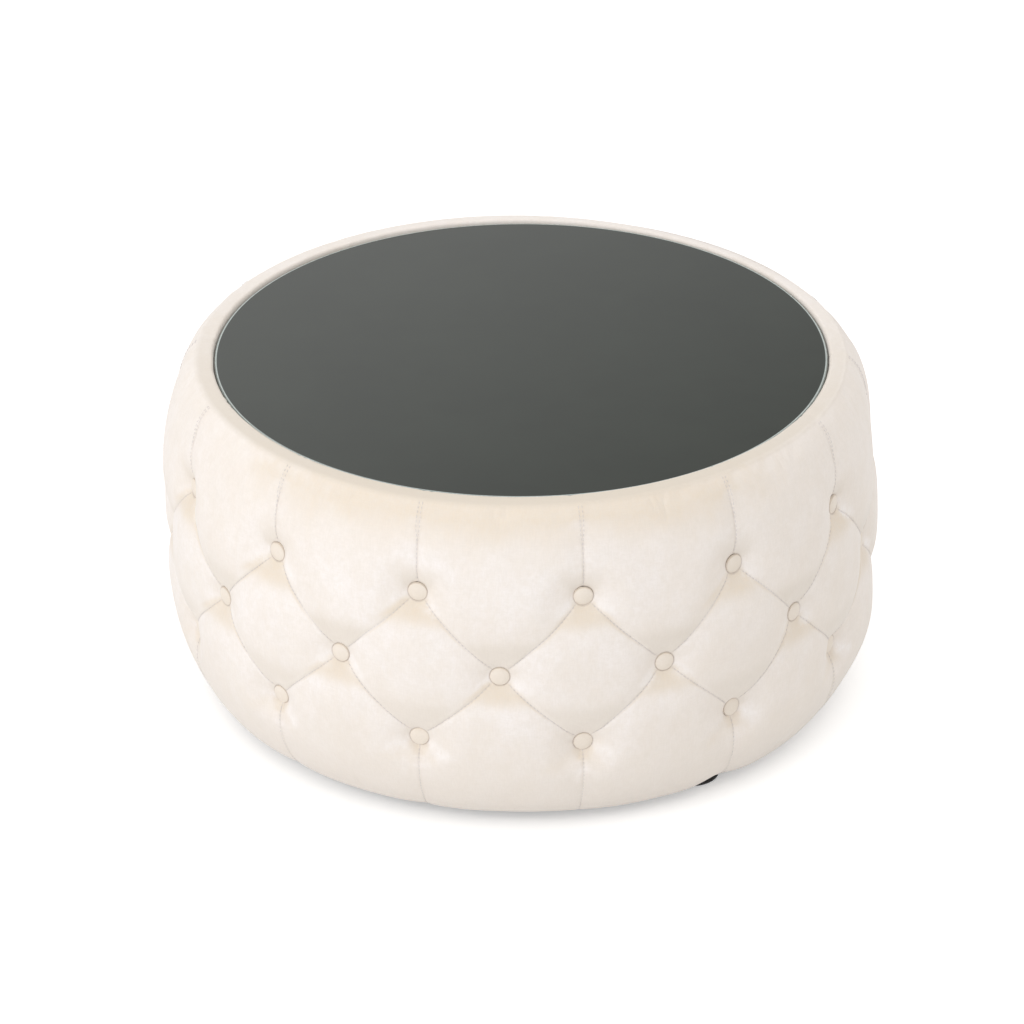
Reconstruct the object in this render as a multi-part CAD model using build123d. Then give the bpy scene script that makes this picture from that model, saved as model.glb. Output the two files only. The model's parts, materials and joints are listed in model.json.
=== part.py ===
"""Ottoman coffee table: a tufted velvet drum with a glass disc set into its top.

Millimetres, +Z up, origin on the floor at the centre of the drum. Angles are measured round +Z
from the front (-Y), so the point at angle a and radius r is (r sin a, -r cos a).
"""

import os
from math import cos, pi, radians, sin, sqrt

from build123d import *

# Overall sizes
overall_diameter = 762.0
overall_height = 368.3

# How far a cut runs past what it cuts
cut_overrun = 5.0

# Heights under and over the drum
foot_height = 15.4
rim_padding = 4.3
glass_recess = 4.3

# Frame
side_padding = 44.0
skin_thickness = 3.0
skin_joint = 1.0
board_thickness = 15.0
base_thickness = 15.0
base_ring_width = 94.0
rim_ring_width = 10.5
post_width = 38.0
post_count = 7
wrap_gap = 0.2
splice_width = 40.0
splice_thickness = 3.0

# Glass and what it rests on
glass_thickness = 6.0
glass_gap = 1.5
glass_ground_edge = 1.0
pad_height = 3.0
pad_diameter = 10.0
pad_margin = 10.0
pad_count = 8

# Velvet cover
cloth_thickness = 1.8
turn_in_width = 15.0
turn_in_thickness = 1.4
quilt_at_button = 3.0
foam_fit = 0.5
foam_edge = 1.8
rim_width = 11.6
rim_round = 3.0
under_tuck = 37.8
belly_height_share = 0.4394

# Tufting
buttons_per_row = 14
first_button_angle = 9.52
lower_row_height_share = 0.2717
middle_row_height_share = 0.4987
upper_row_height_share = 0.7365
lower_tuft_depth = 18.0
middle_tuft_depth = 16.0
upper_tuft_depth = 16.0
button_diameter = 20.0
button_edge = 3.0
button_thickness = 5.0
button_standoff = 0.3
seat_margin = 1.0
seam_width = 2.0
seam_depth = 6.5
edge_seam_depth = 1.2

# Where the cover is shaped between its rows of buttons, and beyond them
row_span_shares = (0.2, 0.5, 0.8)
hem_band_shares = (0.2, 0.55, 1.0)
rim_band_shares = (0.2, 0.45, 0.7, 0.85, 0.95, 1.0)

# Button ties
tie_diameter = 1.6
tie_sides = 6
peg_length = 25.0
peg_width = 6.0
peg_depth = 4.0

# Feet and dust cover
foot_diameter = 50.0
foot_taper = 3.0
foot_edge_margin = 7.0
foot_count = 4
foot_button_offset = 1
foot_recess_diameter = 12.0
foot_recess_depth = 6.0
foot_clearance = 1.5
dust_cover_thickness = 0.6
dust_cover_margin = 0.5

# Screws
screw_shank_diameter = 4.0
screw_head_diameter = 8.0
screw_head_height = 3.0
screw_tip = 4.0
frame_screw_length = 50.0
foot_screw_length = 20.0
screw_hole_clearance = 0.3
screw_sides = 8

# Worked out from the sizes above
pitch = 360.0 / buttons_per_row
belly_radius = overall_diameter / 2
skin_outer = belly_radius - side_padding
skin_inner = skin_outer - skin_thickness
board_radius = skin_inner - wrap_gap
ring_inner = board_radius - rim_ring_width
rim_inner = ring_inner - wrap_gap - cloth_thickness
rim_outer = rim_inner + rim_width
glass_radius = rim_inner - glass_gap
turn_in_radius = glass_radius - turn_in_width

base_bottom = foot_height + dust_cover_thickness
base_top = base_bottom + base_thickness
hem_bottom = base_bottom - turn_in_thickness
ring_top = overall_height - rim_padding
glass_bottom = overall_height - glass_recess - glass_thickness
board_top = glass_bottom - pad_height
board_bottom = board_top - board_thickness
cover_height = overall_height - hem_bottom
belly_height = hem_bottom + belly_height_share * cover_height
row_heights = {
    "lower": hem_bottom + lower_row_height_share * cover_height,
    "middle": hem_bottom + middle_row_height_share * cover_height,
    "upper": hem_bottom + upper_row_height_share * cover_height,
}
tuft_depths = {"lower": lower_tuft_depth, "middle": middle_tuft_depth, "upper": upper_tuft_depth}

seat_half = button_diameter / 2 + seat_margin
foot_circle = board_radius - foot_edge_margin - foot_diameter / 2
under_hem_radius = foot_circle + foot_diameter / 2 + foot_clearance
post_face = sqrt((board_radius - wrap_gap) ** 2 - (post_width / 2) ** 2)
post_circle = post_face - post_width / 2
post_angles = [
    first_button_angle + pitch * (1 / 4 + k * buttons_per_row / post_count)
    for k in range(post_count)
]
foot_angles = [
    first_button_angle + pitch * foot_button_offset + k * 360.0 / foot_count
    for k in range(foot_count)
]
splice_angle = first_button_angle + pitch * (buttons_per_row // 2 - 1 / 4)
button_angles = {
    row: [first_button_angle + pitch * (k + (row == "middle") / 2) for k in range(buttons_per_row)]
    for row in row_heights
}


def turned(angle):
    """The turn that brings what faces +X round to an angle from the front."""
    return Rot(0, 0, angle - 90.0)


def polar(radius, angle, z):
    """The point at a radius and an angle from the front."""
    return (radius * sin(radians(angle)), -radius * cos(radians(angle)), z)


def around(piece, angles):
    """Copies of a piece that faces +X, one at each angle."""
    return Compound([turned(angle) * piece for angle in angles])


def ring(inner, outer, bottom, top):
    """A flat ring, or a disc where the inner radius is zero."""
    outline = Polyline((inner, 0, bottom), (outer, 0, bottom), (outer, 0, top), (inner, 0, top), close=True)
    return revolve(make_face(outline), Axis.Z)


def puff_radius(z):
    """The barrel that the crests of the tufts reach: an ellipse above the belly, a tuck below it."""
    if z >= belly_height:
        rise = (z - belly_height) / (overall_height - belly_height)
        return rim_outer + (belly_radius - rim_outer) * sqrt(max(0.0, 1 - rise**2))
    fall = (belly_height - z) / (belly_height - hem_bottom)
    return belly_radius - under_tuck * fall**3


def seat_radius(row):
    """How far out the cover lies under a button of this row."""
    return puff_radius(row_heights[row]) - tuft_depths[row]


def width_share(width, radius):
    """The share of the way from one button to the next that a width takes."""
    return width * buttons_per_row / (2 * pi * radius)


seat_share = width_share(2 * seat_half, belly_radius)
seam_share = width_share(seam_width, belly_radius)


def quilt_ring(z, column_share, depth):
    """One level outline of the cover: an arc over each tuft, drawn in at the seams between them.

    column_share is how much of each pitch lies in line with the outer rows' buttons at this height.
    """
    crest = puff_radius(z)
    arcs = []
    for step in range(2 * buttons_per_row):
        share = 1 - column_share if step % 2 else column_share
        fullness = min(1.0, max(0.0, (share - seat_share) / (1 - 2 * seat_share)))
        middle = first_button_angle + pitch * step / 2
        half = share * pitch / 2
        arcs.append(
            ThreePointArc(
                polar(crest - depth, middle - half, z),
                polar(crest - depth * (1 - fullness) ** 2, middle, z),
                polar(crest - depth, middle + half, z),
            )
        )
    return Wire(arcs)


def quilt_stations():
    """Heights from the hem to the rim, each with its column share and the depth of its seams."""
    lower, middle, upper = (row_heights[row] for row in ("lower", "middle", "upper"))
    stations = []

    def band(start, end, tuft, shares):
        for t in shares:
            narrow = seam_share + (seat_share - seam_share) * (1 - t) ** 6
            depth = edge_seam_depth + (tuft - edge_seam_depth) * (1 - t) ** 3
            stations.append((start + (end - start) * t, narrow, depth))

    def seat(row, share):
        z = row_heights[row]
        for offset in (-seat_half, seat_half):
            stations.append((z + offset, share, tuft_depths[row] + puff_radius(z + offset) - puff_radius(z)))

    def span(low_row, high_row, low_share, high_share):
        start = row_heights[low_row] + seat_half
        end = row_heights[high_row] - seat_half
        for t in row_span_shares:
            tuft = tuft_depths[low_row] + (tuft_depths[high_row] - tuft_depths[low_row]) * t
            depth = seam_depth + (tuft - seam_depth) * (2 * t - 1) ** 2
            stations.append((start + (end - start) * t, low_share + (high_share - low_share) * t, depth))

    band(lower - seat_half, hem_bottom, tuft_depths["lower"], hem_band_shares)
    seat("lower", seat_share)
    span("lower", "middle", seat_share, 1 - seat_share)
    seat("middle", 1 - seat_share)
    span("middle", "upper", 1 - seat_share, seat_share)
    seat("upper", seat_share)
    band(upper + seat_half, overall_height, tuft_depths["upper"], rim_band_shares)
    return sorted(stations)


def foam_line(outset):
    """The foam barrel's outline from its foot to its top, as points pushed out by a clearance."""
    edge = skin_outer + wrap_gap + foam_edge + outset
    belly = seat_radius("middle") - quilt_at_button - foam_fit + outset
    return [(edge, base_bottom), (belly, row_heights["middle"]), (edge, ring_top - rim_padding)]


def velvet_cover():
    """The tufted velvet with its filling: hem, barrel, rim and the turn-in under the glass."""
    body = Solid.make_loft([quilt_ring(*station) for station in quilt_stations()], ruled=True)
    inside = [
        (0, hem_bottom - cut_overrun),
        (under_hem_radius, hem_bottom - cut_overrun),
        (under_hem_radius, base_bottom),
        *foam_line(foam_fit),
        (skin_outer + wrap_gap, ring_top + wrap_gap),
        (ring_inner - wrap_gap, ring_top + wrap_gap),
        (ring_inner - wrap_gap, board_top),
        (turn_in_radius, board_top),
        (turn_in_radius, board_top + turn_in_thickness),
        (rim_inner, board_top + turn_in_thickness),
        (rim_inner, overall_height + cut_overrun),
        (0, overall_height + cut_overrun),
    ]
    void = revolve(make_face(Polyline([(r, 0, z) for r, z in inside], close=True)), Axis.Z)
    cover = body - void
    lip = cover.edges().filter_by(GeomType.CIRCLE).filter_by(
        lambda edge: abs(edge.radius - rim_inner) < wrap_gap and edge.center().Z > ring_top
    )
    return chamfer(lip, rim_round)


def side_foam():
    """Firm foam barrel between the skin and the cover."""
    inner = skin_outer + wrap_gap
    line = foam_line(0)
    outline = [(inner, line[0][1]), *line, (inner, line[-1][1])]
    return revolve(make_face(Polyline([(r, 0, z) for r, z in outline], close=True)), Axis.Z)


def side_skin():
    """Stiff card wrapped round the frame, with one butt joint."""
    joint = turned(splice_angle) * Pos((skin_inner + skin_outer) / 2, 0, overall_height / 2)
    slot = Box(skin_thickness + 2 * cut_overrun, skin_joint, overall_height + 2 * cut_overrun)
    return ring(skin_inner, skin_outer, base_bottom, ring_top) - joint * slot


def skin_splice():
    """Batten behind the butt joint, bent to the skin."""
    outer = skin_inner - wrap_gap
    strip = ring(outer - splice_thickness, outer, base_top + wrap_gap, board_bottom - wrap_gap)
    block = Box(2 * (splice_thickness + cut_overrun), splice_width, overall_height)
    return strip & (turned(splice_angle) * Pos(outer, 0, overall_height / 2) * block)


def button(row):
    """Covered button, flat behind and domed in front, facing +X at its place out from the axis."""
    radius = button_diameter / 2
    rise = button_thickness - button_edge
    dome = RadiusArc((button_edge, radius), (button_thickness, 0), (radius**2 + rise**2) / (2 * rise))
    back = Polyline((button_thickness, 0), (0, 0), (0, radius), (button_edge, radius))
    solid = revolve(make_face(Wire(back.edges() + dome.edges())), Axis.X)
    return Pos(seat_radius(row) + button_standoff, 0, row_heights[row]) * solid


def tie(row):
    """Twine from the peg behind the skin to the back of the button."""
    start = skin_inner - 2 * wrap_gap
    length = seat_radius(row) + button_standoff - start
    twine = extrude(RegularPolygon(tie_diameter / 2, tie_sides), length)
    return Pos(start, 0, row_heights[row]) * Rot(0, 90, 0) * twine


def tie_peg(row):
    """Small wooden peg across the hole, which the twine is knotted round."""
    centre = skin_inner - 2 * wrap_gap - peg_depth / 2
    return Pos(centre, 0, row_heights[row]) * Box(peg_depth, peg_width, peg_length)


def wood_screw(length):
    """Countersunk screw with few sides, its head at the origin and its point along +Z."""
    head = RegularPolygon(screw_head_diameter / 2, screw_sides).wire()
    shank = RegularPolygon(screw_shank_diameter / 2, screw_sides).wire()
    sections = [
        head,
        Pos(0, 0, screw_head_height) * shank,
        Pos(0, 0, length - screw_tip) * shank,
        Vertex(0, 0, length),
    ]
    return Solid.make_loft(sections, ruled=True)


def glass_top():
    """Tinted glass disc with ground edges."""
    disc = ring(0, glass_radius, glass_bottom, glass_bottom + glass_thickness)
    return chamfer(disc.edges().filter_by(GeomType.CIRCLE), glass_ground_edge)


def foot():
    """Tapered plastic foot, recessed and countersunk for its screw, at its place out from the axis."""
    top = foot_diameter / 2
    recess = foot_recess_diameter / 2
    sink = screw_head_diameter / 2 + screw_hole_clearance
    hole = screw_shank_diameter / 2 + screw_hole_clearance
    outline = [
        (recess, 0),
        (top - foot_taper, 0),
        (top, foot_height),
        (hole, foot_height),
        (hole, foot_recess_depth + screw_head_height),
        (sink, foot_recess_depth),
        (recess, foot_recess_depth),
    ]
    turned_foot = revolve(make_face(Polyline([(r, 0, z) for r, z in outline], close=True)), Axis.Z)
    return Pos(foot_circle, 0, 0) * turned_foot


def build():
    """All nodes by name."""
    pad_circle = turn_in_radius - pad_margin - pad_diameter / 2
    pad = Pos(pad_circle, 0, board_top + pad_height / 2) * Cylinder(pad_diameter / 2, pad_height)
    post_height = board_bottom - base_top
    post = Pos(post_circle, 0, base_top + post_height / 2) * Box(post_width, post_width, post_height)
    frame_screw = wood_screw(frame_screw_length)
    foot_screw = Pos(foot_circle, 0, foot_recess_depth) * wood_screw(foot_screw_length)
    nodes = {
        "glass_top": glass_top(),
        "glass_pads": around(pad, [k * 360.0 / pad_count for k in range(pad_count)]),
        "top_board": ring(0, board_radius, board_bottom, board_top),
        "rim_ring": ring(ring_inner, board_radius, board_top, ring_top),
        "base_ring": ring(board_radius - base_ring_width, board_radius, base_bottom, base_top),
        "side_skin": side_skin(),
        "skin_splice": skin_splice(),
        "side_foam": side_foam(),
        "velvet_cover": velvet_cover(),
        "feet": around(foot(), foot_angles),
        "dust_cover": ring(0, under_hem_radius - dust_cover_margin, foot_height, base_bottom),
        "base_screws": around(Pos(post_circle, 0, base_bottom) * frame_screw, post_angles),
        "board_screws": around(Pos(post_circle, 0, board_top) * Rot(180, 0, 0) * frame_screw, post_angles),
        "foot_screws": around(foot_screw, foot_angles),
    }
    for number, angle in enumerate(post_angles, 1):
        nodes[f"post_{number}"] = turned(angle) * post
    for row, angles in button_angles.items():
        nodes[f"buttons_{row}"] = around(button(row), angles)
        nodes[f"ties_{row}"] = around(tie(row), angles)
        nodes[f"tie_pegs_{row}"] = around(tie_peg(row), angles)
    return nodes


os.makedirs("parts", exist_ok=True)
for name, shape in build().items():
    export_step(shape, f"parts/{name}.step")
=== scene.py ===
"""Ottoman coffee table: the looks, laid out as a Blender add-on and run as a script.

Every size is in metres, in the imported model's frame. Angles are measured round +Z from the front
(-Y), so the point at angle a and radius r is (r sin a, -r cos a).
"""

import json
from math import cos, pi, radians, sin

import bmesh
import bpy
import numpy as np
from bpy.props import FloatProperty, FloatVectorProperty, IntProperty, PointerProperty
from mathutils import Matrix, Vector


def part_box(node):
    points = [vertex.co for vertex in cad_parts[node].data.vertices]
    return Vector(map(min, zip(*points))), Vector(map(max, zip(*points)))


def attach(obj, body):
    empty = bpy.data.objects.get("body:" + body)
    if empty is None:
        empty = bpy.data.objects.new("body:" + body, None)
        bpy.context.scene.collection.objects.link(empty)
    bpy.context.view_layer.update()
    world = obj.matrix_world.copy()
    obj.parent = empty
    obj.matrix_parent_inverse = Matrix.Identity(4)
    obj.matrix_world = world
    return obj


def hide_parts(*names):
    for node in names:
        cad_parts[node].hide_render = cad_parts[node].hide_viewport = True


bl_info = {
    "name": "Ottoman coffee table",
    "version": (1, 0, 0),
    "blender": (4, 5, 0),
    "location": "3D View > Sidebar > Ottoman",
    "description": "Builds an ottoman table's tufted velvet, buttons, stitching and fixings",
    "category": "Object",
}

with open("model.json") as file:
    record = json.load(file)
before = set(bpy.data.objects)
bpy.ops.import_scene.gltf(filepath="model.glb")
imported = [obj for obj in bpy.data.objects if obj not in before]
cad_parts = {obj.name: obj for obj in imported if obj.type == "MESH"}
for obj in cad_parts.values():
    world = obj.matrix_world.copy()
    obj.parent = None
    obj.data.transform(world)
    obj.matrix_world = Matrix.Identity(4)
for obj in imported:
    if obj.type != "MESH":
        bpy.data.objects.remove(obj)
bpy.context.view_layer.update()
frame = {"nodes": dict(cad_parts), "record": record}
NODES = frame["nodes"]

OVERALL_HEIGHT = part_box("velvet_cover")[1].z
BOARD_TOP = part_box("top_board")[1].z
BASE_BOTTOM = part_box("base_ring")[0].z
ROWS = ("upper", "middle", "lower")
ROW_HEIGHTS = {row: sum(corner.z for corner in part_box(f"buttons_{row}")) / 2 for row in ROWS}

UP, DOWN = Vector((0, 0, 1)), Vector((0, 0, -1))
UNROLLED = 0.372
"""Radius at which the cover is laid out flat, which turns angles into lengths along the cloth."""
BUTTON_RADIUS = 0.01
TINY = 1e-9
CLOTH = 0.0014
"""Thickness of the cloth where it is turned in."""
FOOT_CIRCLE = 0.3018
STITCH_PITCH = 0.0044
WHITE = (1.0, 1.0, 1.0)


# Settings


def metres(name, about, value):
    """A setting that is a length."""
    return FloatProperty(name=name, description=about, default=value, unit="LENGTH")


def share(name, about, value):
    """A setting between 0 and 1."""
    return FloatProperty(name=name, description=about, default=value, min=0.0, max=1.0)


def tint(name, about, value):
    """A setting that is a colour."""
    return FloatVectorProperty(name=name, description=about, default=value, subtype="COLOR")


class DrumSizes(bpy.types.PropertyGroup):
    """Sizes of the tufted drum, as the CAD source has them"""

    diameter: metres("Diameter", "Across the belly", 0.762)
    belly_height: metres("Belly height", "Height of the widest level", 0.17002)
    rim_outer: metres("Rim radius", "Where the barrel reaches its top", 0.3329)
    rim_inner: metres("Recess radius", "Radius of the recess round the glass", 0.3213)
    hem_height: metres("Hem height", "Height of the hem over the floor", 0.0146)
    under_tuck: metres("Under tuck", "How far the side draws in to the hem", 0.0378)
    first_angle: FloatProperty(
        name="First button", description="Angle of the first button", default=radians(9.52), subtype="ANGLE"
    )
    per_row: IntProperty(name="Buttons per row", description="Buttons in each row", default=14, min=6)


class TuftSizes(bpy.types.PropertyGroup):
    """How deep and how soft the tufting is"""

    upper_depth: metres("Upper row depth", "Depth of an upper button's seat", 0.016)
    middle_depth: metres("Middle row depth", "Depth of a middle button's seat", 0.016)
    lower_depth: metres("Lower row depth", "Depth of a lower button's seat", 0.018)
    seam_depth: metres("Seam depth", "Depth of a seam between two buttons", 0.0052)
    roll_width: metres("Roll width", "How far a puff rolls in beside a seam", 0.056)
    edge_width: metres("Edge width", "Width of the tighter roll right beside a seam", 0.007)
    edge_share: share("Edge share", "Share of the depth in the tighter roll", 0.15)
    upright_share: share("Upright share", "Depth of the upright seams to the others", 0.28)
    pull_reach: metres("Pull reach", "How far from it a button pulls the cover in", 0.064)
    pull_tight: metres("Tight pull", "Width of the funnel right round a button", 0.009)
    tight_share: share("Tight share", "Share of the pull in the tight funnel", 0.5)
    hug_height: metres("Hug height", "How far up a button's side the velvet lies", 0.0028)
    groove_depth: metres("Groove depth", "Depth of the tight groove at a seam", 0.0009)
    groove_width: metres("Groove width", "Width of the tight groove at a seam", 0.0013)
    slack: metres("Slack", "How far the puffs start below their full height", 0.0022)
    pressure: FloatProperty(name="Filling pressure", description="Pressure of the filling", default=3.4)
    most_moved: metres("Most moved", "How far the filling may push the cloth", 0.0045)


class StitchSizes(bpy.types.PropertyGroup):
    """The stitching along the seams"""

    pitch: metres("Pitch", "From stitch to stitch", STITCH_PITCH)
    length: metres("Length", "Length of a stitch", 0.0029)
    thread: metres("Thread", "Thickness of the thread", 0.00048)
    colour: tint("Thread colour", "Colour of the thread", (0.79, 0.75, 0.74))


class FinishColours(bpy.types.PropertyGroup):
    """Colours of the finishes"""

    velvet: tint("Velvet", "Ivory velvet", (0.875, 0.812, 0.758))
    # Pale velvet is painted highlight on upright faces, and also the colour of random pale patches.
    velvet_light: tint("Pale velvet", "Velvet brushed towards the light", (0.95, 0.902, 0.88))
    # Beige velvet is painted shade on faces that look up and on faces turned aside, and also the colour of
    # random patches.
    velvet_flat: tint("Beige velvet", "Velvet on faces that look up", (0.815, 0.71, 0.585))
    velvet_button: tint("Button velvet", "Velvet stretched over the buttons", (0.815, 0.72, 0.605))
    # Shaded velvet is painted shade on faces that look down, and also the colour of random crushed patches
    # and specks.
    velvet_under: tint("Shaded velvet", "Velvet on faces that look down", (0.825, 0.76, 0.69))
    # Lip velvet is painted shade: on the lip band beside the glass and above the buttons.
    velvet_lip_shade: tint("Lip velvet", "Velvet pressed flat beside the glass", (0.71, 0.635, 0.54))
    # Brushed velvet is painted highlight: the pale streaks beside the buttons.
    velvet_highlight: tint("Brushed velvet", "Streaks where the pile stands up", (0.99, 0.95, 0.935))
    glass: tint("Glass", "Dark grey tinted glass", (0.0165, 0.021, 0.015))
    plastic: tint("Feet", "Black moulded plastic", (0.012, 0.012, 0.012))
    plywood: tint("Plywood", "Raw plywood face", (0.62, 0.46, 0.29))
    pine: tint("Pine", "Raw pine", (0.74, 0.57, 0.36))
    twine: tint("Twine", "Waxed tufting twine", (0.74, 0.68, 0.56))


class StudioLight(bpy.types.PropertyGroup):
    """Floor, light and background"""

    ambient: FloatProperty(name="Ambient", description="Strength of the light from all round", default=0.82)
    key: FloatProperty(name="Key", description="Watts of the large light on the left", default=52.5)
    fill: FloatProperty(name="Fill", description="Watts of the overhead light", default=22.0)
    floor: tint("Floor", "Colour of the floor", (0.92, 0.92, 0.92))
    lift: FloatProperty(name="Floor lift", description="White added where the camera sees it", default=0.33)


# The form of the drum


def polar(radius, angle, z):
    """The point at a radius and an angle from the front."""
    return Vector((radius * sin(angle), -radius * cos(angle), z))


def turned_from(angle, middle):
    """How far angles are round from another one, the short way."""
    return (angle - middle + pi) % (2 * pi) - pi


def bell(away, width):
    """A hump of height 1 that dies out over a width."""
    return np.exp(-((away / width) ** 2))


def about(angle, middle, width):
    """A hump of height 1 at an angle round the drum, which is in degrees, as its half width is."""
    return bell(turned_from(angle, radians(middle)), radians(width))


def bezier(start, bend, end):
    """Points on a curve that leaves start and reaches end in the directions of bend."""
    t = np.linspace(0, 1, 24)[:, None]
    start, bend, end = (np.array(point) for point in (start, bend, end))
    return (1 - t) ** 2 * start + 2 * t * (1 - t) * bend + t**2 * end


def line(start, end, count=12):
    """Points on a straight run."""
    return np.linspace(start, end, count)


def arc(centre, radius, first, last):
    """Points on an arc, its angles in degrees from +X."""
    turn = np.radians(np.linspace(first, last, 16))
    return np.stack([centre[0] + radius * np.cos(turn), centre[1] + radius * np.sin(turn)], axis=1)


class Drum:
    """The cover's outline from the turn-in under the glass, over the rim and down to the hem."""

    def __init__(self, sizes, tufts):
        self.sizes, self.tufts = sizes, tufts
        self.pitch = 2 * pi / sizes.per_row
        self.hem = sizes.hem_height
        self.belly = sizes.belly_height
        self.radius = sizes.diameter / 2
        top, inner, lip, corner = OVERALL_HEIGHT, sizes.rim_inner, 0.0034, 0.002
        turn_in, under = BOARD_TOP + CLOTH, self.hem + 0.0001
        shoulder, skirt = top - 0.0163, self.hem + 0.0085
        lip_end = (inner + 1.1 * lip, top - 0.00002)
        fold_in, fold = (inner + 0.0159, top - 0.0013), (inner + 0.0174, top - 0.0014)
        fold_out = (inner + 0.0185, top - 0.0025)
        bend = (self.puff(shoulder) - 0.0039, shoulder + 0.0069)
        roll = (inner + 0.0241, self.hem + 0.0002)
        hem_out, hem_in = (inner + 0.0162, under), (inner + 0.0079, under)
        above, below = ROW_HEIGHTS["upper"] + 0.05, ROW_HEIGHTS["lower"] - 0.046
        sections = {
            "turn_in": (line((inner - 0.0165, turn_in), (inner - corner, turn_in)), 1),
            "corner": (arc((inner - corner, turn_in + corner), corner, -90, 0), 1),
            "wall": (line((inner, turn_in + corner), (inner, top - lip)), 1),
            "lip": (arc((inner + lip, top - lip), lip, 180, 84), 4),
            "rim": (line(lip_end, fold_in), 3),
            "fold": (bezier(fold_in, fold, fold_out), 2),
            "bend": (bezier(fold_out, bend, (self.puff(shoulder), shoulder)), 4),
            "shoulder": (self.side(shoulder, above), 3),
            "tufts": (self.side(above, below), 0),
            "skirt": (self.side(below, skirt), 4),
            "roll": (bezier((self.puff(skirt), skirt), roll, hem_out), 5),
            "hem": (line(hem_out, hem_in), 2),
            "tuck": (line(hem_in, (inner + 0.0071, BASE_BOTTOM - 0.0001), 4), 1),
        }
        self.upper_rows, self.lower_rows, points, ends, run = [0.0], [], [], {}, 0.0
        for name, (section, rows) in sections.items():
            reach = np.linalg.norm(np.diff(section, axis=0), axis=1).sum()
            target = self.lower_rows if name == "tufts" or "tufts" in ends else self.upper_rows
            target.extend(run + reach * (np.arange(rows) + 1) / rows if rows else [run + reach])
            run += reach
            ends[name] = run
            points.append(section if not points else section[1:])
        points = np.concatenate(points)
        self.runs = np.concatenate([[0], np.cumsum(np.linalg.norm(np.diff(points, axis=0), axis=1))])
        self.points = points
        self.lip_run, self.rim_run, self.fold_run, self.skirt_run = (
            ends[name] for name in ("wall", "lip", "fold", "skirt")
        )
        along = np.gradient(points, self.runs, axis=0)
        along /= np.linalg.norm(along, axis=1)[:, None]
        self.normals = np.stack([-along[:, 1], along[:, 0]], axis=1)
        heights = np.linspace(above, below, 200)
        steps = np.cumsum(np.hypot(np.diff(heights), np.diff(self.puff(heights))))
        side_runs = ends["shoulder"] + np.concatenate([[0], steps])
        self.row_runs = {row: float(np.interp(-z, -heights, side_runs)) for row, z in ROW_HEIGHTS.items()}
        self.depths = {row: getattr(tufts, f"{row}_depth") for row in ROWS}

    def puff(self, z):
        """Radius that the crests of the puffs reach at a height."""
        z = np.asarray(z, float)
        rise = np.clip((z - self.belly) / (OVERALL_HEIGHT - self.belly), 0, 1)
        fall = np.clip((self.belly - z) / (self.belly - self.hem), 0, None)
        rim = self.sizes.rim_outer
        above = rim + (self.radius - rim) * np.sqrt(1 - rise**2)
        return np.where(z >= self.belly, above, self.radius - self.sizes.under_tuck * fall**3)

    def side(self, start, end):
        """Points down the side between two heights."""
        z = np.linspace(start, end, 60)
        return np.stack([self.puff(z), z], axis=1)

    def button_angles(self, row):
        """Angles of a row's buttons."""
        shift = 0.5 if row == "middle" else 0.0
        return [self.sizes.first_angle + self.pitch * (k + shift) for k in range(self.sizes.per_row)]

    def seat(self, row):
        """Radius of the cover under a row's buttons."""
        return float(self.puff(ROW_HEIGHTS[row])) - self.depths[row]

    def outline(self, run):
        """Radius, height and outward direction at a distance along the outline."""
        radius = np.interp(run, self.runs, self.points[:, 0])
        z = np.interp(run, self.runs, self.points[:, 1])
        out_r = np.interp(run, self.runs, self.normals[:, 0])
        out_z = np.interp(run, self.runs, self.normals[:, 1])
        low, high = ROW_HEIGHTS["lower"], ROW_HEIGHTS["upper"]
        blend = 0.06
        turned = smooth((z - high) / blend) + smooth((low - z) / blend)
        turned = np.where(run < self.rim_run, 1.0, turned)
        out_r, out_z = 1 + (out_r - 1) * turned, out_z * turned
        size = np.hypot(out_r, out_z)
        return radius, z, out_r / size, out_z / size

    def seams(self):
        """The seams of one pitch as ends in the unrolled cover, with what each is."""
        wide = self.pitch * UNROLLED
        up, mid, low = (self.row_runs[row] for row in ROWS)
        found = []
        for side in (0, wide):
            for reach in (-wide / 2, wide / 2):
                middle = (side + reach, mid)
                found += [((side, up), middle, "across"), (middle, (side, low), "across")]
            found += [((side, 0.0), (side, up), "rim"), ((side, low), (side, self.runs[-1]), "hem")]
        return found

    def between_seams(self, x, run, rim_fade, hem_fade):
        """How full and how free the cover is, how near the nearest seam is, and how far along it."""
        tufts = self.tufts
        full, free, near, along = np.ones_like(x), np.ones_like(x), np.ones_like(x), np.zeros_like(x)
        for start, end, kind in self.seams():
            start, end = np.array(start), np.array(end)
            reach = end - start
            t = np.clip(((x - start[0]) * reach[0] + (run - start[1]) * reach[1]) / (reach @ reach), 0, 1)
            away = np.hypot(x - start[0] - t * reach[0], run - start[1] - t * reach[1])
            held = {"across": 1.0, "rim": rim_fade, "hem": hem_fade}[kind]
            edge = tufts.edge_share * np.exp(-away / tufts.edge_width)
            roll = (1 - tufts.edge_share) * (1 - np.clip(away / tufts.roll_width, 0, 1)) ** 2
            full = full * (1 - (edge + roll) * held * (1.0 if kind == "across" else tufts.upright_share))
            free = free * (1 - (edge + roll) * held)
            along = np.where(away < near, t * np.linalg.norm(reach), along)
            near = np.minimum(near, away)
        return full, free, near, along

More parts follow.
